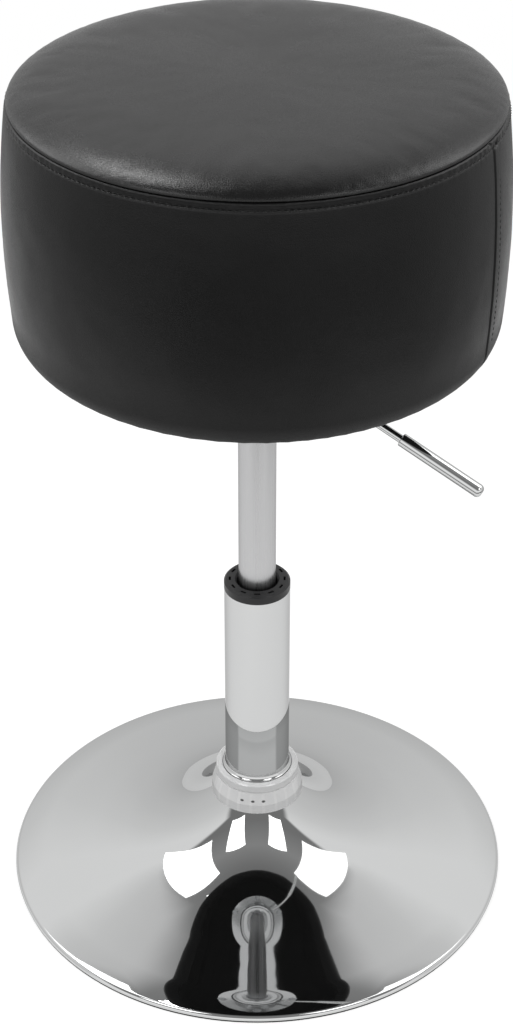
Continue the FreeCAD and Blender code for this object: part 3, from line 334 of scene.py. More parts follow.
TOP_LEATHER = leather("black_faux_leather_top", gloss=0.37, rough=0.27,
                      measure=Paint.reach, where=(0.140, 0.160), rougher=(0.0, -0.03))
SIDE_LEATHER = leather("black_faux_leather_side", gloss=0.31, rough=0.33,
                       measure=Paint.height, where=(0.488, 0.520), rougher=(0.30, 0.0))
DUST_CLOTH = non_woven()
PLYWOOD = plywood()
BLACK_WIRE = cast("black_wire", (0.03, 0.03, 0.03), rough=0.5, metal=0.5)
THREAD = thread()
FOAM = moulded("cut_foam", (0.62, 0.56, 0.40), rough=0.9, grain=700.0, depth=0.8)

NODE_PAINT = {
    CHROME: "base_shell stand_tube lever_rod lever_handle",
    BRIGHT: "seat_plate mechanism_cup",
    SATIN: "gas_cylinder",
    STEEL: ("hub_socket brace_plate tube_end_plate piston_rod rod_washer rod_clip piston_nut "
            "pressure_tube taper_socket pivot_bracket pivot_pin release_pin"),
    POLISHED: "lower_race upper_race bearing_balls",
    ZINC: "plate_washers plate_screws tee_nuts release_rocker",
    ALLOY: "piston valve_body",
    CLEAR: "collar",
    BLACK_PLASTIC: "guide_bush rod_guide",
    WHITE_PLASTIC: "ball_cage piston_ring",
    RUBBER: "floor_ring bump_stop rod_seal valve_seal",
    TOP_LEATHER: "seat_top_cover",
    SIDE_LEATHER: "seat_side_cover",
    FOAM: "seat_foam",
    DUST_CLOTH: "dust_cover",
    PLYWOOD: "seat_board",
}
for material, node_names in NODE_PAINT.items():
    for node_name in node_names.split():
        node_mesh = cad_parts[node_name].data
        node_mesh.materials.clear()
        node_mesh.materials.append(material)


# Mesh helpers

# Smooth noise on a surface: width of its waves, seed, height, and squeeze along the column
Ripple = namedtuple("Ripple", "width seed height squeeze", defaults=(1.0,))
NOISE_SHIFT = (1.0, 2.3, -1.7)  # how a seed moves the noise along each axis


def add_piece(name, points, faces, material, body, sharp=None):
    """A smooth-shaded mesh piece that rides on a body."""
    mesh = bpy.data.meshes.new(name)
    mesh.from_pydata((np.reshape(points, (-1, 3)) * MM).tolist(), [], faces)
    mesh.validate()
    mesh.shade_smooth()
    if sharp:
        mesh.set_sharp_from_angle(angle=math.radians(sharp))
    mesh.materials.append(material)
    piece = bpy.data.objects.new(name, mesh)
    bpy.context.scene.collection.objects.link(piece)
    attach(piece, body)
    return piece


def full_circle(count):
    """Even directions round the column, in radians."""
    return np.linspace(-math.pi, math.pi, count, endpoint=False)


def arc(centre, radius, start, end, count):
    """Points of a circle between two angles, both ends included."""
    angles = np.radians(np.linspace(start, end, count))
    return np.column_stack((centre[0] + radius * np.cos(angles),
                            centre[1] + radius * np.sin(angles)))


def grid_faces(rows, columns, closed=False):
    """Quads of a grid whose columns run full circle, and its rows too where it is closed."""
    faces = []
    for row in range(rows if closed else rows - 1):
        here, there = row * columns, (row + 1) % rows * columns
        for column in range(columns):
            after = (column + 1) % columns
            faces.append((here + column, here + after, there + after, there + column))
    return faces


def fan_faces(hub, columns):
    """Triangles between the first row of a grid and a point in its middle."""
    return [(hub, (column + 1) % columns, column) for column in range(columns)]


def tube_faces(first, rings, sides):
    """Quads of an open tube whose points start at an index."""
    return [tuple(first + corner for corner in face) for face in grid_faces(rings, sides)]


def flipped(faces):
    return [face[::-1] for face in faces]


def turn(profile, angles):
    """Grid of points from a profile of (reach, height) rows swept round the column's axis."""
    reach, height = profile[:, 0:1], profile[:, 1:2]
    return np.stack((reach * np.cos(angles), reach * np.sin(angles),
                     np.broadcast_to(height, (len(profile), len(angles)))), axis=-1)


def sweep(line, across, other, sides):
    """Points of a tube round a line: at each of its points an ellipse on two half axes."""
    turned = 2 * math.pi * np.arange(sides)[:, None] / sides
    return line[:, None] + np.cos(turned) * across[:, None] + np.sin(turned) * other[:, None]


def unit(vectors):
    return vectors / np.linalg.norm(vectors, axis=1)[:, None]


def fade(value, zero, one):
    """0 to 1 as a value goes from one number to another, held at the ends."""
    return np.clip((value - zero) / (one - zero), 0, 1)


def eased(share):
    """A share from 0 to 1 with a soft start and end."""
    return share * share * (3 - 2 * share)


def smooth_noise(points, ripple):
    """Even noise from -1 to 1 at each point of a grid."""
    shift = Vector([ripple.seed * share for share in NOISE_SHIFT])
    squeezed = points.reshape(-1, 3) * (1, 1, ripple.squeeze)
    levels = [noise.noise(Vector(point) / ripple.width + shift) for point in squeezed]
    return np.reshape(levels, points.shape[:-1])


# Base

# Shell: the sheet's outer face from the neck's mouth outwards, as arcs of
# (slope at start, slope at end, radius, number of points)
SHELL_START = (30.626, 73.995)
SHELL_ARCS = (
    (52.0, 27.0, 138.0, 76),
    (27.0, 16.6, 173.0, 40),
    (16.6, 12.0, 337.0, 22),
    (12.0, 9.6, 947.2, 14),
    (9.6, 16.0, 197.0, 22),
    (16.0, 90.0, 3.5, 16),
)
SHELL_SHEET = 2.0
SHELL_COLUMNS = 360
SHELL_CREASE = 40.0
INNER_STRIDE = 3  # the hidden inner face keeps every third point

# Tube's foot: a flare on the tube's skin, and an edge of (reach, height above the collar's lip)
TUBE_RADIUS = 25.0
FOOT_SKIN = 0.03
FLARE_RADIUS, FLARE_RISE = 3.5, 3.6
FLARE_TURN = (180.0, 240.0, 15)  # from, to and number of points, as in all such turns
FOOT_EDGE = ((27.00, 0.42), (27.06, 0.18), (26.92, -0.16), (26.20, -1.10))
FOOT_DEPTH = 2.0
FOOT_COLUMNS = 180
FOOT_CREASE = 50.0


def add_turned(name, profile, columns, sharp):
    """A closed profile turned round the column's axis, in chrome on the base."""
    faces = grid_faces(len(profile), columns, closed=True)
    return add_piece(name, turn(profile, full_circle(columns)), flipped(faces), CHROME,
                     "base", sharp)


def make_shell():
    """Trumpet pressing, turned finely enough for clean mirror images."""
    place, outer, outward = np.array(SHELL_START), [], []
    for start, end, radius, count in SHELL_ARCS:
        slope = np.radians(np.linspace(start, end, count))
        bend = radius if end > start else -radius
        run = bend * (np.sin(slope) - np.sin(slope[0]))
        fall = bend * (np.cos(slope) - np.cos(slope[0]))
        line = place + np.column_stack((run, fall))
        first = 1 if outer else 0  # later arcs share their first point
        outer.append(line[first:])
        outward.append(np.column_stack((np.sin(slope), np.cos(slope)))[first:])
        place = line[-1]
    outer, outward = np.concatenate(outer), np.concatenate(outward)
    inner = (outer - SHELL_SHEET * outward)[::-INNER_STRIDE]
    shell = add_turned("base_pressing", np.concatenate((outer, inner)), SHELL_COLUMNS, SHELL_CREASE)
    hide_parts("base_shell")


def make_tube_foot():
    """Flared chrome foot of the tube, which stands in the collar's lip."""
    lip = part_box("collar")[1][2] / MM
    skin = TUBE_RADIUS + FOOT_SKIN
    flare = arc((skin + FLARE_RADIUS, lip + FLARE_RISE), FLARE_RADIUS, *FLARE_TURN)
    edge = [(reach, lip + rise) for reach, rise in FOOT_EDGE] + [(skin, lip - FOOT_DEPTH)]
    add_turned("tube_foot", np.concatenate((flare, edge)), FOOT_COLUMNS, FOOT_CREASE)


make_shell()
make_tube_foot()


# Seat cover

# Profile: the solids' arcs, filled out where the cover stands proud of them
SEAT_RADIUS = 173.2
BULGE_HEIGHT = 562.8
BULGE_RADIUS = 714.0
BAND_TOP, BAND_CLOSE, BAND_FOOT = 657.0, 641.0, 503.2  # the rows lie closer down to BAND_CLOSE
CLOSE_ROWS, SIDE_ROWS, UNDER_ROWS = 33, 42, 12
ROLL_RADIUS, ROLL_RISE, ROLL_TURN = 1.5, 0.2, (96.0, 8.0, 7)
CORNER_CENTRE, CORNER_RADIUS, CORNER_TURN = (150.77, 504.8), 20.0, (-6.0, -90.0, 18)
UNDER_START = 148.77
HEM_BOTTOM, HEM_RADIUS = 484.8, 124.97
SEAM_RADIUS, SEAM_HEIGHT = 164.4, 658.85
BAND_UNDER_SEAM, TOP_OVER_SEAM = 0.15, 0.1
LEAN = math.tan(math.radians(0.8))  # slope of the top, which is higher at the front
LEAN_RANGE = (520.0, 650.0)  # heights between which the lean grows

# Top panel: its slope at reaches, the height and rows where it turns down into the seam,
# and its mesh rows as (first reach, last reach, number)
TOP_REACH = (0.0, 95.0, 122.0, 138.0, 148.0, 155.0, 160.0, 163.5, 165.2, 166.0)
TOP_SLOPE = (0.0, 1.0, 2.8, 6.0, 12.0, 18.5, 25.5, 34.0, 48.0, 75.0)
TOP_RADIUS, TOP_EDGE = TOP_REACH[-1], 659.9
TOP_ROLL = ((166.05, 659.6), (165.85, 659.3), (165.4, 659.1), (164.9, 659.0))
TOP_ROWS = ((0.0, 130.0, 34), (132.5, 160.0, 15), (160.6, 165.0, 9), (165.2, 166.0, 5))
TOP_SAMPLES = 1661
TOP_COLUMNS = 720
TOP_BROAD = Ripple(width=85.0, seed=3.0, height=0.6)
TOP_MIDDLE = Ripple(width=26.0, seed=7.0, height=0.12)
TOP_PUCKER = Ripple(width=6.0, seed=12.0, height=0.20)
PUCKER_REACH, PUCKER_WIDTH, PUCKER_FADE = 163.0, 5.0, (166.4, 164.9)
# Reaches where the waves and folds have faded out at the edge, and where they are full
BROAD_FADE, MIDDLE_FADE, FOLD_FADE = (166.0, 136.0), (166.0, 151.0), (166.0, 164.0)

# Band: mesh columns, with close ones beside the upright seam, and waves
SIDE_SEAM = math.radians(-26.3)
BAND_COLUMNS = 840
SEAM_ZONE, SEAM_STEP = 22.0, 0.55
BAND_BROAD = Ripple(width=70.0, seed=1.0, height=0.7)
BAND_MIDDLE = Ripple(width=24.0, seed=5.0, height=0.22, squeeze=0.45)
BAND_PUCKER = Ripple(width=5.0, seed=9.0, height=0.30, squeeze=0.35)
GATHER_PITCH, GATHER_STRAY, GATHER_HEIGHT, GATHER_DROP = 6.3, 3.0, 0.16, 6.5
# Reaches and heights where these come in, as (none, full), and the share left on the underside
SIDE_REACH = (158.0, 164.0)
SIDE_TOP = (SEAM_HEIGHT + 0.3, SEAM_HEIGHT - 1.2)
SIDE_FOOT, LEAST_OFFSET = (486.0, 506.0), 0.15
FOLD_FOOT = (503.0, 511.0)

# Seams: furrows as (depth, width), the lap's width and thickness, tucks as (along, down)
TOPSTITCH_DROP = 5.4
TOPSTITCH_FURROW, SEAM_FURROW, LAP_FURROW = (0.55, 0.8), (0.75, 0.7), (0.5, 0.8)
LAP_WIDTH, LAP_THICKNESS = 8.6, 0.55
LAP_START, LAP_END = (0.0, 0.8), (LAP_WIDTH + 1.2, LAP_WIDTH - 0.4)
UPRIGHT_TOP = (BAND_TOP - 1.0, BAND_TOP - 5.0)
TUCKS = ((-5.0, 1.2), (5.0, 4.6))
TUCK_DEPTH, TUCK_WIDTH, TUCK_LENGTH = 2.0, 1.8, 1.5
PLEATS, PLEAT_HEIGHT = 34.0, 0.63
PLEAT_STRAY, PLEAT_STRAYS = 1.3, 5.0
PLEAT_LEVEL, PLEAT_INNER, PLEAT_OUTER = (500.0, 486.0), (122.0, 142.0), (170.0, 156.0)

# Cloth simulation: rows of its grid, how much too small it starts, and the share of its folds kept
STUDY_REACH = np.linspace(6.0, 165.0, 32)
STUDY_HEIGHTS = np.linspace(BAND_TOP - 1.0, 506.0, 34)
STUDY_COLUMNS = 150
STUDY_TURN = (-15.0, -90.0, 4)
STUDY_SHRINK = 2.0
STUDY_UNEVEN = Ripple(width=14.0, seed=31.0, height=0.35)
SETTLE_FRAMES = 20
CLOTH_SETTINGS = {
    "quality": 6,
    "mass": 0.3,
    "tension_stiffness": 30.0,
    "compression_stiffness": 30.0,
    "shear_stiffness": 8.0,
    "bending_stiffness": 0.35,
    "use_pressure": True,
    "uniform_pressure_force": 0.3,
    "vertex_group_mass": "held",
}
FOLD_SHARE, FOLD_CAP = 0.45, 3.0

STITCH_PITCH, STITCH_GAP, STITCH_WIDTH = 4.2, 0.9, 0.62
STITCH_RINGS = STITCH_SIDES = 7
STITCH_BOW, STITCH_DIVE, DIVE_POWER = 0.30, 0.62, 2.5
STITCH_TAPER, TAPER_POWER = 0.55, 3
ROUND_SINK, UPRIGHT_SINK = 0.30, 0.05  # how deep each row lies in the band
ROUND_TILT, ROUND_SAMPLES = 0.12, 720
ROUND_GAP = 0.01  # radians left free at the upright seam
UPRIGHT_DROP, UPRIGHT_FOOT, UPRIGHT_SAMPLES = 2.0, 506.0, 160


def bulge(height):
    """Reach of the band's bulging face."""
    return SEAT_RADIUS - BULGE_RADIUS + np.sqrt(BULGE_RADIUS ** 2 - (height - BULGE_HEIGHT) ** 2)


def groove(distance, depth, width):
    """A narrow furrow: minus depth at its middle."""
    return -depth * np.exp(-(distance / width) ** 2)


def leaned(points):
    """The cover as it was drawn on: its top higher at the front, its foot square on the board."""
    share = eased(fade(points[..., 2], *LEAN_RANGE))
    moved = points.copy()
    moved[..., 2] -= LEAN * points[..., 1] * share
    return moved


def seat_angles():
    """Directions around the seat, with close columns at the upright seam."""
    even = full_circle(BAND_COLUMNS)
    even = even[np.abs(even - SIDE_SEAM) > SEAM_ZONE / SEAT_RADIUS]
    close = SIDE_SEAM + np.arange(-SEAM_ZONE, SEAM_ZONE + SEAM_STEP / 2, SEAM_STEP) / SEAT_RADIUS
    return np.sort(np.concatenate((even, close)))


def band_rows():
    """The band's profile from the seam down the side and under the board to the hem's edge."""
    start = [(SEAM_RADIUS, SEAM_HEIGHT - BAND_UNDER_SEAM)]
    roll = arc((bulge(BAND_TOP) - ROLL_RADIUS, BAND_TOP + ROLL_RISE), ROLL_RADIUS, *ROLL_TURN)
    heights = np.concatenate((np.linspace(BAND_TOP, BAND_CLOSE, CLOSE_ROWS),
                              np.linspace(BAND_CLOSE, BAND_FOOT, SIDE_ROWS)[1:]))
    side = np.column_stack((bulge(heights), heights))
    corner = arc(CORNER_CENTRE, CORNER_RADIUS, *CORNER_TURN)
    under = np.column_stack((np.linspace(UNDER_START, HEM_RADIUS, UNDER_ROWS),
                             np.full(UNDER_ROWS, HEM_BOTTOM)))
    return np.concatenate((start, roll, side, corner, under))


def top_level(reach):
    """Height of the top panel at reaches."""
    fine = np.linspace(0.0, TOP_RADIUS, TOP_SAMPLES)
    fall = np.tan(np.radians(np.interp(fine, TOP_REACH, TOP_SLOPE)))
    steps = (fall[1:] + fall[:-1]) / 2 * np.diff(fine)
    level = TOP_EDGE + np.concatenate((np.cumsum(steps[::-1])[::-1], [0.0]))
    return np.interp(reach, fine, level)


def top_rows():
    """The top panel's profile from its middle to the edge drawn in at the seam."""
    reach = np.concatenate([np.linspace(*rows) for rows in TOP_ROWS])
    crown = np.column_stack((reach, top_level(reach)))
    return np.concatenate((crown, TOP_ROLL, [(SEAM_RADIUS, SEAM_HEIGHT + TOP_OVER_SEAM)]))


def blow_up(points, faces, fixed):
    """Points of a cloth after it was blown up from inside while some of them were held."""
    scene = bpy.context.scene
    mesh = bpy.data.meshes.new("cover_study")
    mesh.from_pydata((points * MM).tolist(), [], faces)
    study = bpy.data.objects.new("cover_study", mesh)
    scene.collection.objects.link(study)
    study.vertex_groups.new(name="held").add(fixed, 1.0, "REPLACE")
    cloth = study.modifiers.new("cloth", "CLOTH")
    cloth.point_cache.frame_end = SETTLE_FRAMES
    for setting, value in CLOTH_SETTINGS.items():
        setattr(cloth.settings, setting, value)
    cloth.settings.effector_weights.gravity = 0.0
    for step in range(1, SETTLE_FRAMES + 1):
        scene.frame_set(step)
    settled = study.evaluated_get(bpy.context.evaluated_depsgraph_get()).data
    moved = np.empty(len(settled.vertices) * 3)
    settled.vertices.foreach_get("co", moved)
    bpy.data.objects.remove(study)
    bpy.data.meshes.remove(mesh)
    scene.frame_set(1)
    return moved.reshape(-1, 3) / MM


def settle_cover():
    """Folds of the cover from a cloth simulation: how far it lies off its mean shape.

    The cover starts a little small and is held at the seam and under the board. The first field
    holds the heights of the top's folds, and the second how far the band's folds stand out.
    """
    low = STUDY_SHRINK * (1 - (STUDY_REACH / TOP_RADIUS) ** 2)
    top = np.column_stack((STUDY_REACH, top_level(STUDY_REACH) - low))
    slim = STUDY_SHRINK * np.sin(np.linspace(0, math.pi, len(STUDY_HEIGHTS)))
    band = np.column_stack((bulge(STUDY_HEIGHTS) - slim, STUDY_HEIGHTS))
    foot = arc(CORNER_CENTRE, CORNER_RADIUS, *STUDY_TURN)
    rows = np.concatenate((top, [(SEAM_RADIUS, SEAM_HEIGHT)], band, foot))
    seam_row = len(top)
    foot_row = seam_row + 1 + len(band)
    start = turn(rows, full_circle(STUDY_COLUMNS)).reshape(-1, 3)
    uneven = STUDY_UNEVEN.height * smooth_noise(start, STUDY_UNEVEN)
    on_band = np.repeat(np.arange(len(rows)) > seam_row, STUDY_COLUMNS)
    start[:, 2] += np.where(on_band, 0.0, uneven)
    start[:, :2] *= 1 + np.where(on_band, uneven, 0.0)[:, None] / SEAT_RADIUS
    hub = len(start)
    start = np.concatenate((start, [(0.0, 0.0, top[0, 1])]))
    faces = grid_faces(len(rows), STUDY_COLUMNS) + fan_faces(hub, STUDY_COLUMNS)
    fixed = [row * STUDY_COLUMNS + column for row in (seam_row, *range(foot_row, len(rows)))
             for column in range(STUDY_COLUMNS)]
    moved = blow_up(start, flipped(faces), fixed)[:hub].reshape(len(rows), STUDY_COLUMNS, 3)
    heights = moved[:seam_row, :, 2]
    reaches = np.hypot(moved[seam_row + 1:foot_row, :, 0], moved[seam_row + 1:foot_row, :, 1])
    return [np.clip(FOLD_SHARE * (field - field.mean(axis=1, keepdims=True)), -FOLD_CAP, FOLD_CAP)
            for field in (heights, reaches)]


def sampled(field, rows, angles):
    """Read a field of simulated folds between its rows and round its columns."""
    columns = field.shape[1]
    across = (angles + math.pi) / (2 * math.pi) * columns % columns
    left = np.floor(across).astype(int) % columns
    part = across - np.floor(across)
    along = field[:, left] * (1 - part) + field[:, (left + 1) % columns] * part
    upper = np.clip(np.floor(rows).astype(int), 0, len(field) - 2)
    share = np.clip(rows - upper, 0, 1)[:, None]
    return along[upper] * (1 - share) + along[upper + 1] * share


def band_folds(rows, angles, along, drop):
    """How far the band stands out in its waves, the gathers under its seam and its folds."""
    points = turn(rows, angles)
    pucker = smooth_noise(points, BAND_PUCKER)
    gather = np.sin(2 * math.pi * along / GATHER_PITCH + GATHER_STRAY * pucker)
    offset = (BAND_BROAD.height * smooth_noise(points, BAND_BROAD)
              + BAND_MIDDLE.height * smooth_noise(points, BAND_MIDDLE)
              + (BAND_PUCKER.height * pucker + GATHER_HEIGHT * gather)
              * np.exp(-(drop / GATHER_DROP) ** 2))
    places = np.interp(-rows[:, 1], -STUDY_HEIGHTS, np.arange(len(STUDY_HEIGHTS)))
    return offset + sampled(BAND_FOLDS, places, angles) * fade(rows[:, 1:2], *FOLD_FOOT)


def band_seams(along, drop, height):
    """How far the band stands out at its topstitch, its lapped upright seam and the tucks."""
    lap = LAP_THICKNESS * fade(along, *LAP_START) * fade(along, *LAP_END)
    furrows = groove(along, *SEAM_FURROW) + groove(along - LAP_WIDTH, *LAP_FURROW)
    offset = (groove(drop - TOPSTITCH_DROP, *TOPSTITCH_FURROW)
              + fade(height, *UPRIGHT_TOP) * (lap + furrows))
    for beside, down in TUCKS:
        offset -= TUCK_DEPTH * np.exp(-((along - beside) / TUCK_WIDTH) ** 2
                                      - ((drop - down) / TUCK_LENGTH) ** 2)
    return offset


def make_band():
    """Side band: folds and seams on its face, and pleats where it is drawn under the board."""
    rows, angles = band_rows(), seat_angles()
    reach, height = rows[:, 0:1], rows[:, 1:2]
    along, drop = (angles - SIDE_SEAM) * SEAT_RADIUS, SEAM_HEIGHT - height
    on_side = fade(reach, *SIDE_REACH) * fade(height, *SIDE_TOP)
    offset = on_side * (band_folds(rows, angles, along, drop) + band_seams(along, drop, height))
    reach_out = reach + offset * np.maximum(fade(height, *SIDE_FOOT), LEAST_OFFSET)
    pleat = np.abs(np.sin(angles * PLEATS + PLEAT_STRAY * np.sin(angles * PLEAT_STRAYS))) - 0.5
    under = fade(height, *PLEAT_LEVEL) * fade(reach, *PLEAT_INNER) * fade(reach, *PLEAT_OUTER)
    points = np.stack((reach_out * np.cos(angles), reach_out * np.sin(angles),
                       height + PLEAT_HEIGHT * pleat * under), axis=-1)
    band = add_piece("seat_band", leaned(points), grid_faces(len(rows), len(angles)), SIDE_LEATHER,
                     "lift")
    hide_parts("seat_side_cover", "seat_foam")


def make_top():
    """Top panel: a soft crown with shallow dents, drawn down at the seam."""
    profile = top_rows()
    rows, angles = profile[1:], full_circle(TOP_COLUMNS)
    reach = rows[:, 0:1]
    points = turn(rows, angles)
    at_edge = np.exp(-((reach - PUCKER_REACH) / PUCKER_WIDTH) ** 2) * fade(reach, *PUCKER_FADE)
    places = np.interp(rows[:, 0], STUDY_REACH, np.arange(len(STUDY_REACH)))
    broad = TOP_BROAD.height * smooth_noise(points, TOP_BROAD) * fade(reach, *BROAD_FADE)
    middle = TOP_MIDDLE.height * smooth_noise(points, TOP_MIDDLE) * fade(reach, *MIDDLE_FADE)
    pucker = TOP_PUCKER.height * smooth_noise(points, TOP_PUCKER) * at_edge
    folds = sampled(TOP_FOLDS, places, angles) * fade(reach, *FOLD_FADE)
    points[..., 2] += broad + middle + pucker + folds
    crest = np.array([(0.0, 0.0, profile[0, 1])])
    crest[:, 2] += TOP_BROAD.height * smooth_noise(crest, TOP_BROAD)
    faces = grid_faces(len(rows), TOP_COLUMNS) + fan_faces(len(rows) * TOP_COLUMNS, TOP_COLUMNS)
    points = leaned(np.concatenate((points.reshape(-1, 3), crest)))
    top = add_piece("seat_top", points, flipped(faces), TOP_LEATHER, "lift")
    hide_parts("seat_top_cover")


def stitch_row(name, path, outward):
    """A row of thread stitches: each a short bowed capsule whose ends dive into the cover."""
    length = np.concatenate(([0.0], np.cumsum(np.linalg.norm(np.diff(path, axis=0), axis=1))))
    share = np.abs(np.linspace(-1, 1, STITCH_RINGS))
    bow = (STITCH_BOW - STITCH_DIVE * share ** DIVE_POWER)[:, None]
    thick = STITCH_WIDTH / 2 * np.sqrt(1 - STITCH_TAPER * share ** TAPER_POWER)[:, None]
    points, faces = [], []
    starts = np.arange(0.0, length[-1] - STITCH_PITCH, STITCH_PITCH)
    for index, start in enumerate(starts):
        along = np.linspace(start + STITCH_GAP / 2, start + STITCH_PITCH - STITCH_GAP / 2,
                            STITCH_RINGS)
        line, out = (np.column_stack([np.interp(along, length, axis) for axis in field.T])
                     for field in (path, outward))
        out = unit(out)
        across = np.cross(unit(np.gradient(line, axis=0)), out)
        points.append(sweep(line + out * bow, thick * across, thick * out, STITCH_SIDES))
        first = index * STITCH_RINGS * STITCH_SIDES
        last = first + (STITCH_RINGS - 1) * STITCH_SIDES
        faces += tube_faces(first, STITCH_RINGS, STITCH_SIDES)
        faces.append(tuple(range(first, first + STITCH_SIDES))[::-1])
        faces.append(tuple(range(last, last + STITCH_SIDES)))
    add_piece(name, points, faces, THREAD, "lift")


def band_point(angle, height, sink):
    """Points a little inside the band's plain face."""
    reach = bulge(height) - sink
    return leaned(np.column_stack((reach * np.cos(angle), reach * np.sin(angle), height)))


def make_stitches():
    """Topstitch round the band and beside the upright seam."""
    level = SEAM_HEIGHT - TOPSTITCH_DROP
    around = np.linspace(SIDE_SEAM + ROUND_GAP, SIDE_SEAM + 2 * math.pi - ROUND_GAP, ROUND_SAMPLES)
    out = np.column_stack((np.cos(around), np.sin(around), np.full(ROUND_SAMPLES, ROUND_TILT)))
    path = band_point(around, np.full(ROUND_SAMPLES, level), ROUND_SINK)
    stitch_row("topstitch_round", path, out)
    heights = np.linspace(level - UPRIGHT_DROP, UPRIGHT_FOOT, UPRIGHT_SAMPLES)
    beside = np.full(UPRIGHT_SAMPLES, SIDE_SEAM + LAP_WIDTH / SEAT_RADIUS)
    out = np.column_stack((np.cos(beside), np.sin(beside), np.zeros(UPRIGHT_SAMPLES)))
    stitch_row("topstitch_upright", band_point(beside, heights, UPRIGHT_SINK), out)


TOP_FOLDS, BAND_FOLDS = settle_cover()
make_band()
make_top()
make_stitches()


# Underside of the seat

# Dust cloth: its rows from the opening to the edge, which laps over the hem and is folded in
DUST_REACH = np.array((61.0, 66.0, 72.0, 80.0, 90.0, 100.0, 108.0, 114.0, 118.0, 121.0, 122.6,
                       124.0, 127.0, 130.0, 133.0, 136.0, 138.0, 139.4, 140.0))
DUST_FOLD = ((140.2, 484.3), (139.6, 484.65))
DUST_LEVEL, DUST_DROP = 485.35, 1.35
DUST_COLUMNS = 240
DUST_WAVE = Ripple(width=16.0, seed=21.0, height=0.28)
# Reaches where the lap, waves and scalloped edge come in, as (none, full)
DUST_LAP, WAVE_INNER, WAVE_OUTER = (119.5, 124.0), (64.0, 84.0), (141.0, 135.0)
LEAST_WAVE = 0.2
SCALLOP_REACH = (134.0, 140.0)
SCALLOPS, SCALLOP_HEIGHT, SCALLOP_PULL = 14.0, 1.1, 0.6

# Staples: the wire's course as (along, up), and strays from their even places as (size, pace)
STAPLES = 28
STAPLE_COURSE = np.array(((-5.0, 2.2), (-5.0, 0.25), (-4.6, -0.1), (4.6, -0.1), (5.0, 0.25),
                          (5.0, 2.2)))
STAPLE_REACH, STAPLE_LEVEL = 135.6, 483.55
STAPLE_SIDES = 6
WIRE_HALF_WIDTH, WIRE_HALF_HEIGHT = 0.45, 0.3
STRAY_ANGLE, STRAY_REACH, STRAY_SKEW = (0.03, 7.1), (0.7, 3.7), (0.12, 5.3)


def make_dust_cover():
    """Dust cloth: stretched under the board, its folded edge lapped over the cover's hem."""
    angles = full_circle(DUST_COLUMNS)
    level = DUST_LEVEL - DUST_DROP * eased(fade(DUST_REACH, *DUST_LAP))
    profile = np.concatenate((np.column_stack((DUST_REACH, level)), DUST_FOLD))
    reach = profile[:, 0:1]
    points = turn(profile, angles)
    loose = fade(reach, *WAVE_INNER) * np.maximum(fade(reach, *WAVE_OUTER), LEAST_WAVE)
    points[..., 2] -= loose * DUST_WAVE.height * (smooth_noise(points, DUST_WAVE) + 1.0)
    scallop = SCALLOP_HEIGHT * np.abs(np.sin(angles * SCALLOPS)) - SCALLOP_PULL
    pull = fade(reach, *SCALLOP_REACH) * scallop
    points[..., 0] += pull * np.cos(angles)
    points[..., 1] += pull * np.sin(angles)
    cloth = add_piece("dust_sheet", points, flipped(grid_faces(len(profile), DUST_COLUMNS)),
                      DUST_CLOTH, "lift")
    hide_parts("dust_cover")


def stray(index, size, pace):
    """How far one of many like pieces is off its even place."""
    return size * math.sin(index * pace)


def make_staples():
    """Wire staples round the dust cloth's edge."""
    up = np.array((0.0, 0.0, 1.0))
    rings = len(STAPLE_COURSE)
    points, faces = [], []
    for index in range(STAPLES):
        angle = 2 * math.pi * (index + 0.5) / STAPLES + stray(index, *STRAY_ANGLE)
        reach = STAPLE_REACH + stray(index, *STRAY_REACH)
        skew = angle + math.pi / 2 + stray(index, *STRAY_SKEW)
        along = np.array((math.cos(skew), math.sin(skew), 0.0))
        centre = np.array((reach * math.cos(angle), reach * math.sin(angle), STAPLE_LEVEL))
        line = centre + STAPLE_COURSE[:, 0:1] * along + STAPLE_COURSE[:, 1:2] * up
        across = np.tile(np.cross(along, up), (rings, 1))
        other = np.cross(unit(np.gradient(line, axis=0)), across)
        points.append(sweep(line, WIRE_HALF_WIDTH * across, WIRE_HALF_HEIGHT * other, STAPLE_SIDES))
        faces += tube_faces(index * rings * STAPLE_SIDES, rings, STAPLE_SIDES)
    add_piece("staples", points, faces, BLACK_WIRE, "lift")


make_dust_cover()
make_staples()


# Stage: floor, world, lights and camera

FLOOR_LEFT, FLOOR_RIGHT, FLOOR_FRONT, FLOOR_BACK = -1.0, 0.76, -0.80, 1.25
FLOOR_GREY = (0.42, 0.42, 0.42)
FLOOR_GLOW = 0.76

# What mirrors see, as shares of its brightest part, from straight down (0) over the horizon (0.5)
# to straight up (1): a wall behind the object and a room before it
BRIGHTEST = 1.28
WALL = ((0.0, 0.30), (0.325, 0.30), (0.40, 0.55), (0.50, 0.62), (0.67, 0.66), (0.75, 0.72),
        (0.82, 0.83), (0.87, 0.83), (0.90, 0.68), (0.955, 0.56), (0.975, 0.22), (1.0, 0.18))
ROOM = ((0.0, 0.08), (0.33, 0.08), (0.42, 0.55), (0.50, 0.92), (0.52, 1.0), (0.65, 1.0),
        (0.78, 0.20), (0.86, 0.20), (0.94, 0.28), (0.97, 0.22), (1.0, 0.15))
# Where the wall ends, with a soft edge: further back high up, and in the middle than at the sides
WALL_BACK = ((0.62, 0.78), (-0.25, 0.42))
WALL_MIDDLE = ((0.0, 0.25), (-0.24, 0.06))
WALL_EDGE = (-0.08, 0.08)
FILL_LIGHT = 0.45

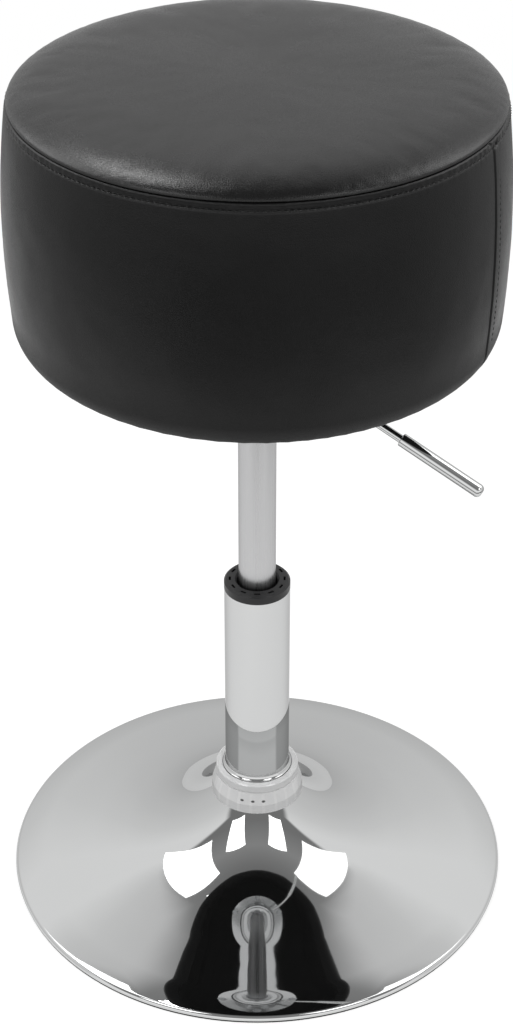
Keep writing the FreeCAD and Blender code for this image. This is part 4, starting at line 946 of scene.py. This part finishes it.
# Lamps: place, the point they face, width and height, and brightness
SOFTBOXES = {
    "softbox_back_left": ((-0.66, 0.17, 1.23), (0.32, 0.17, 1.05), (0.58, 0.80), 2.6),
    "softbox_back_right": ((0.66, 0.15, 1.23), (-0.32, 0.15, 1.04), (0.55, 0.78), 2.2),
    "softbox_above": ((-0.235, 0.09, 1.12), (-0.082, -0.137, 0.66), (0.14, 0.18), 12.0),
    "softbox_front_left": ((-0.85, -0.92, 1.62), (0.0, 0.0, 0.3), (0.66, 0.66), 3.2),
    "softbox_front_right": ((0.82, -0.95, 1.62), (0.0, 0.0, 0.3), (0.64, 0.66), 3.0),
}

# Camera solved from the photograph; lens and sensor in millimetres
LENS, SENSOR_HEIGHT = 84.25, 36.0
CAMERA_PLACE = (0.0, -1.4718, 1.3043)
CAMERA_DIP, CAMERA_TURN = 33.566, 0.02


def visible_ray(nodes):
    """1 for rays from the camera, mirrors and clear pieces, 0 for light that falls on things."""
    path = nodes.new("LightPath").outputs
    seen = nodes.maths("MAXIMUM", path["Is Camera Ray"], path["Is Glossy Ray"])
    return nodes.maths("MAXIMUM", seen, path["Is Transmission Ray"])


def make_floor():
    """White floor sheet that keeps a soft shadow; the room round it is dark."""
    mesh = bpy.data.meshes.new("floor")
    corners = [(FLOOR_LEFT, FLOOR_FRONT, 0), (FLOOR_RIGHT, FLOOR_FRONT, 0),
               (FLOOR_RIGHT, FLOOR_BACK, 0), (FLOOR_LEFT, FLOOR_BACK, 0)]
    mesh.from_pydata(corners, [], [(0, 1, 2, 3)])
    floor = bpy.data.objects.new("floor", mesh)
    bpy.context.scene.collection.objects.link(floor)
    material = bpy.data.materials.new("floor_white")
    nodes = Nodes(material)
    shade = nodes.feed(nodes.new("BsdfDiffuse"), Color=FLOOR_GREY).outputs[0]
    strength = nodes.maths("MULTIPLY", visible_ray(nodes), FLOOR_GLOW)
    glow = nodes.feed(nodes.new("Emission"), Color=WHITE, Strength=strength).outputs[0]
    nodes.feed(nodes.new("OutputMaterial"), Surface=nodes.join("AddShader", shade, glow))
    mesh.materials.append(material)


def grey_ramp(nodes, value, stops):
    """Grey levels at stops along a value."""
    node = nodes.new("ValToRGB")
    elements = node.color_ramp.elements
    while len(elements) < len(stops):
        elements.new(0.5)
    for element, (where, level) in zip(elements, stops):
        element.position = where
        element.color = (level, level, level, 1)
    nodes.plug(node.inputs[0], value)
    return node.outputs["Color"]


def background(nodes, colour, strength):
    return nodes.feed(nodes.new("Background"), Color=colour, Strength=strength).outputs[0]


def make_world():
    """White to the camera; mirrors see a white wall behind, a dark room in front and a ceiling."""
    world = bpy.data.worlds.new("studio")
    bpy.context.scene.world = world
    nodes = Nodes(world)
    direction = nodes.new("TexCoord").outputs["Generated"]
    axes = nodes.feed(nodes.new("SeparateXYZ"), Vector=direction).outputs
    level = nodes.span(axes["Z"], (-1.0, 1.0), (0.0, 1.0))
    wall = background(nodes, grey_ramp(nodes, level, WALL), BRIGHTEST)
    room = background(nodes, grey_ramp(nodes, level, ROOM), BRIGHTEST)
    behind = nodes.maths("SUBTRACT", axes["Y"], nodes.span(axes["Z"], *WALL_BACK))
    middle = nodes.span(nodes.maths("ABSOLUTE", axes["X"]), *WALL_MIDDLE)
    on_wall = nodes.span(nodes.maths("ADD", behind, middle), WALL_EDGE, (0.0, 1.0), "SMOOTHSTEP")
    mirrored = nodes.join("MixShader", on_wall, room, wall)
    camera_ray = nodes.new("LightPath").outputs["Is Camera Ray"]
    seen = nodes.join("MixShader", camera_ray, mirrored, background(nodes, WHITE, 1.0))
    fill = background(nodes, WHITE, FILL_LIGHT)
    surface = nodes.join("MixShader", visible_ray(nodes), fill, seen)
    nodes.feed(nodes.new("OutputWorld"), Surface=surface)


def make_softbox(name, place, target, size, radiance):
    """Rectangular lamp of a given brightness, turned to a point."""
    lamp = bpy.data.lights.new(name, "AREA")
    lamp.shape = "RECTANGLE"
    lamp.size, lamp.size_y = size
    lamp.energy = radiance * math.pi * size[0] * size[1]
    holder = bpy.data.objects.new(name, lamp)
    holder.location = place
    aim = Vector(target) - Vector(place)
    holder.rotation_euler = aim.to_track_quat("-Z", "Y").to_euler()
    bpy.context.scene.collection.objects.link(holder)


def make_camera():
    """Camera at the photograph's viewing angle."""
    data = bpy.data.cameras.new("camera")
    data.sensor_fit = "VERTICAL"
    data.sensor_height = SENSOR_HEIGHT
    data.lens = LENS
    camera = bpy.data.objects.new("camera", data)
    camera.location = CAMERA_PLACE
    camera.rotation_euler = (math.radians(90.0 - CAMERA_DIP), 0.0, math.radians(CAMERA_TURN))
    bpy.context.scene.collection.objects.link(camera)
    bpy.context.scene.camera = camera


make_floor()
make_world()
for lamp_name, lamp_values in SOFTBOXES.items():
    make_softbox(lamp_name, *lamp_values)
make_camera()
bpy.context.scene.view_settings.view_transform = "Standard"
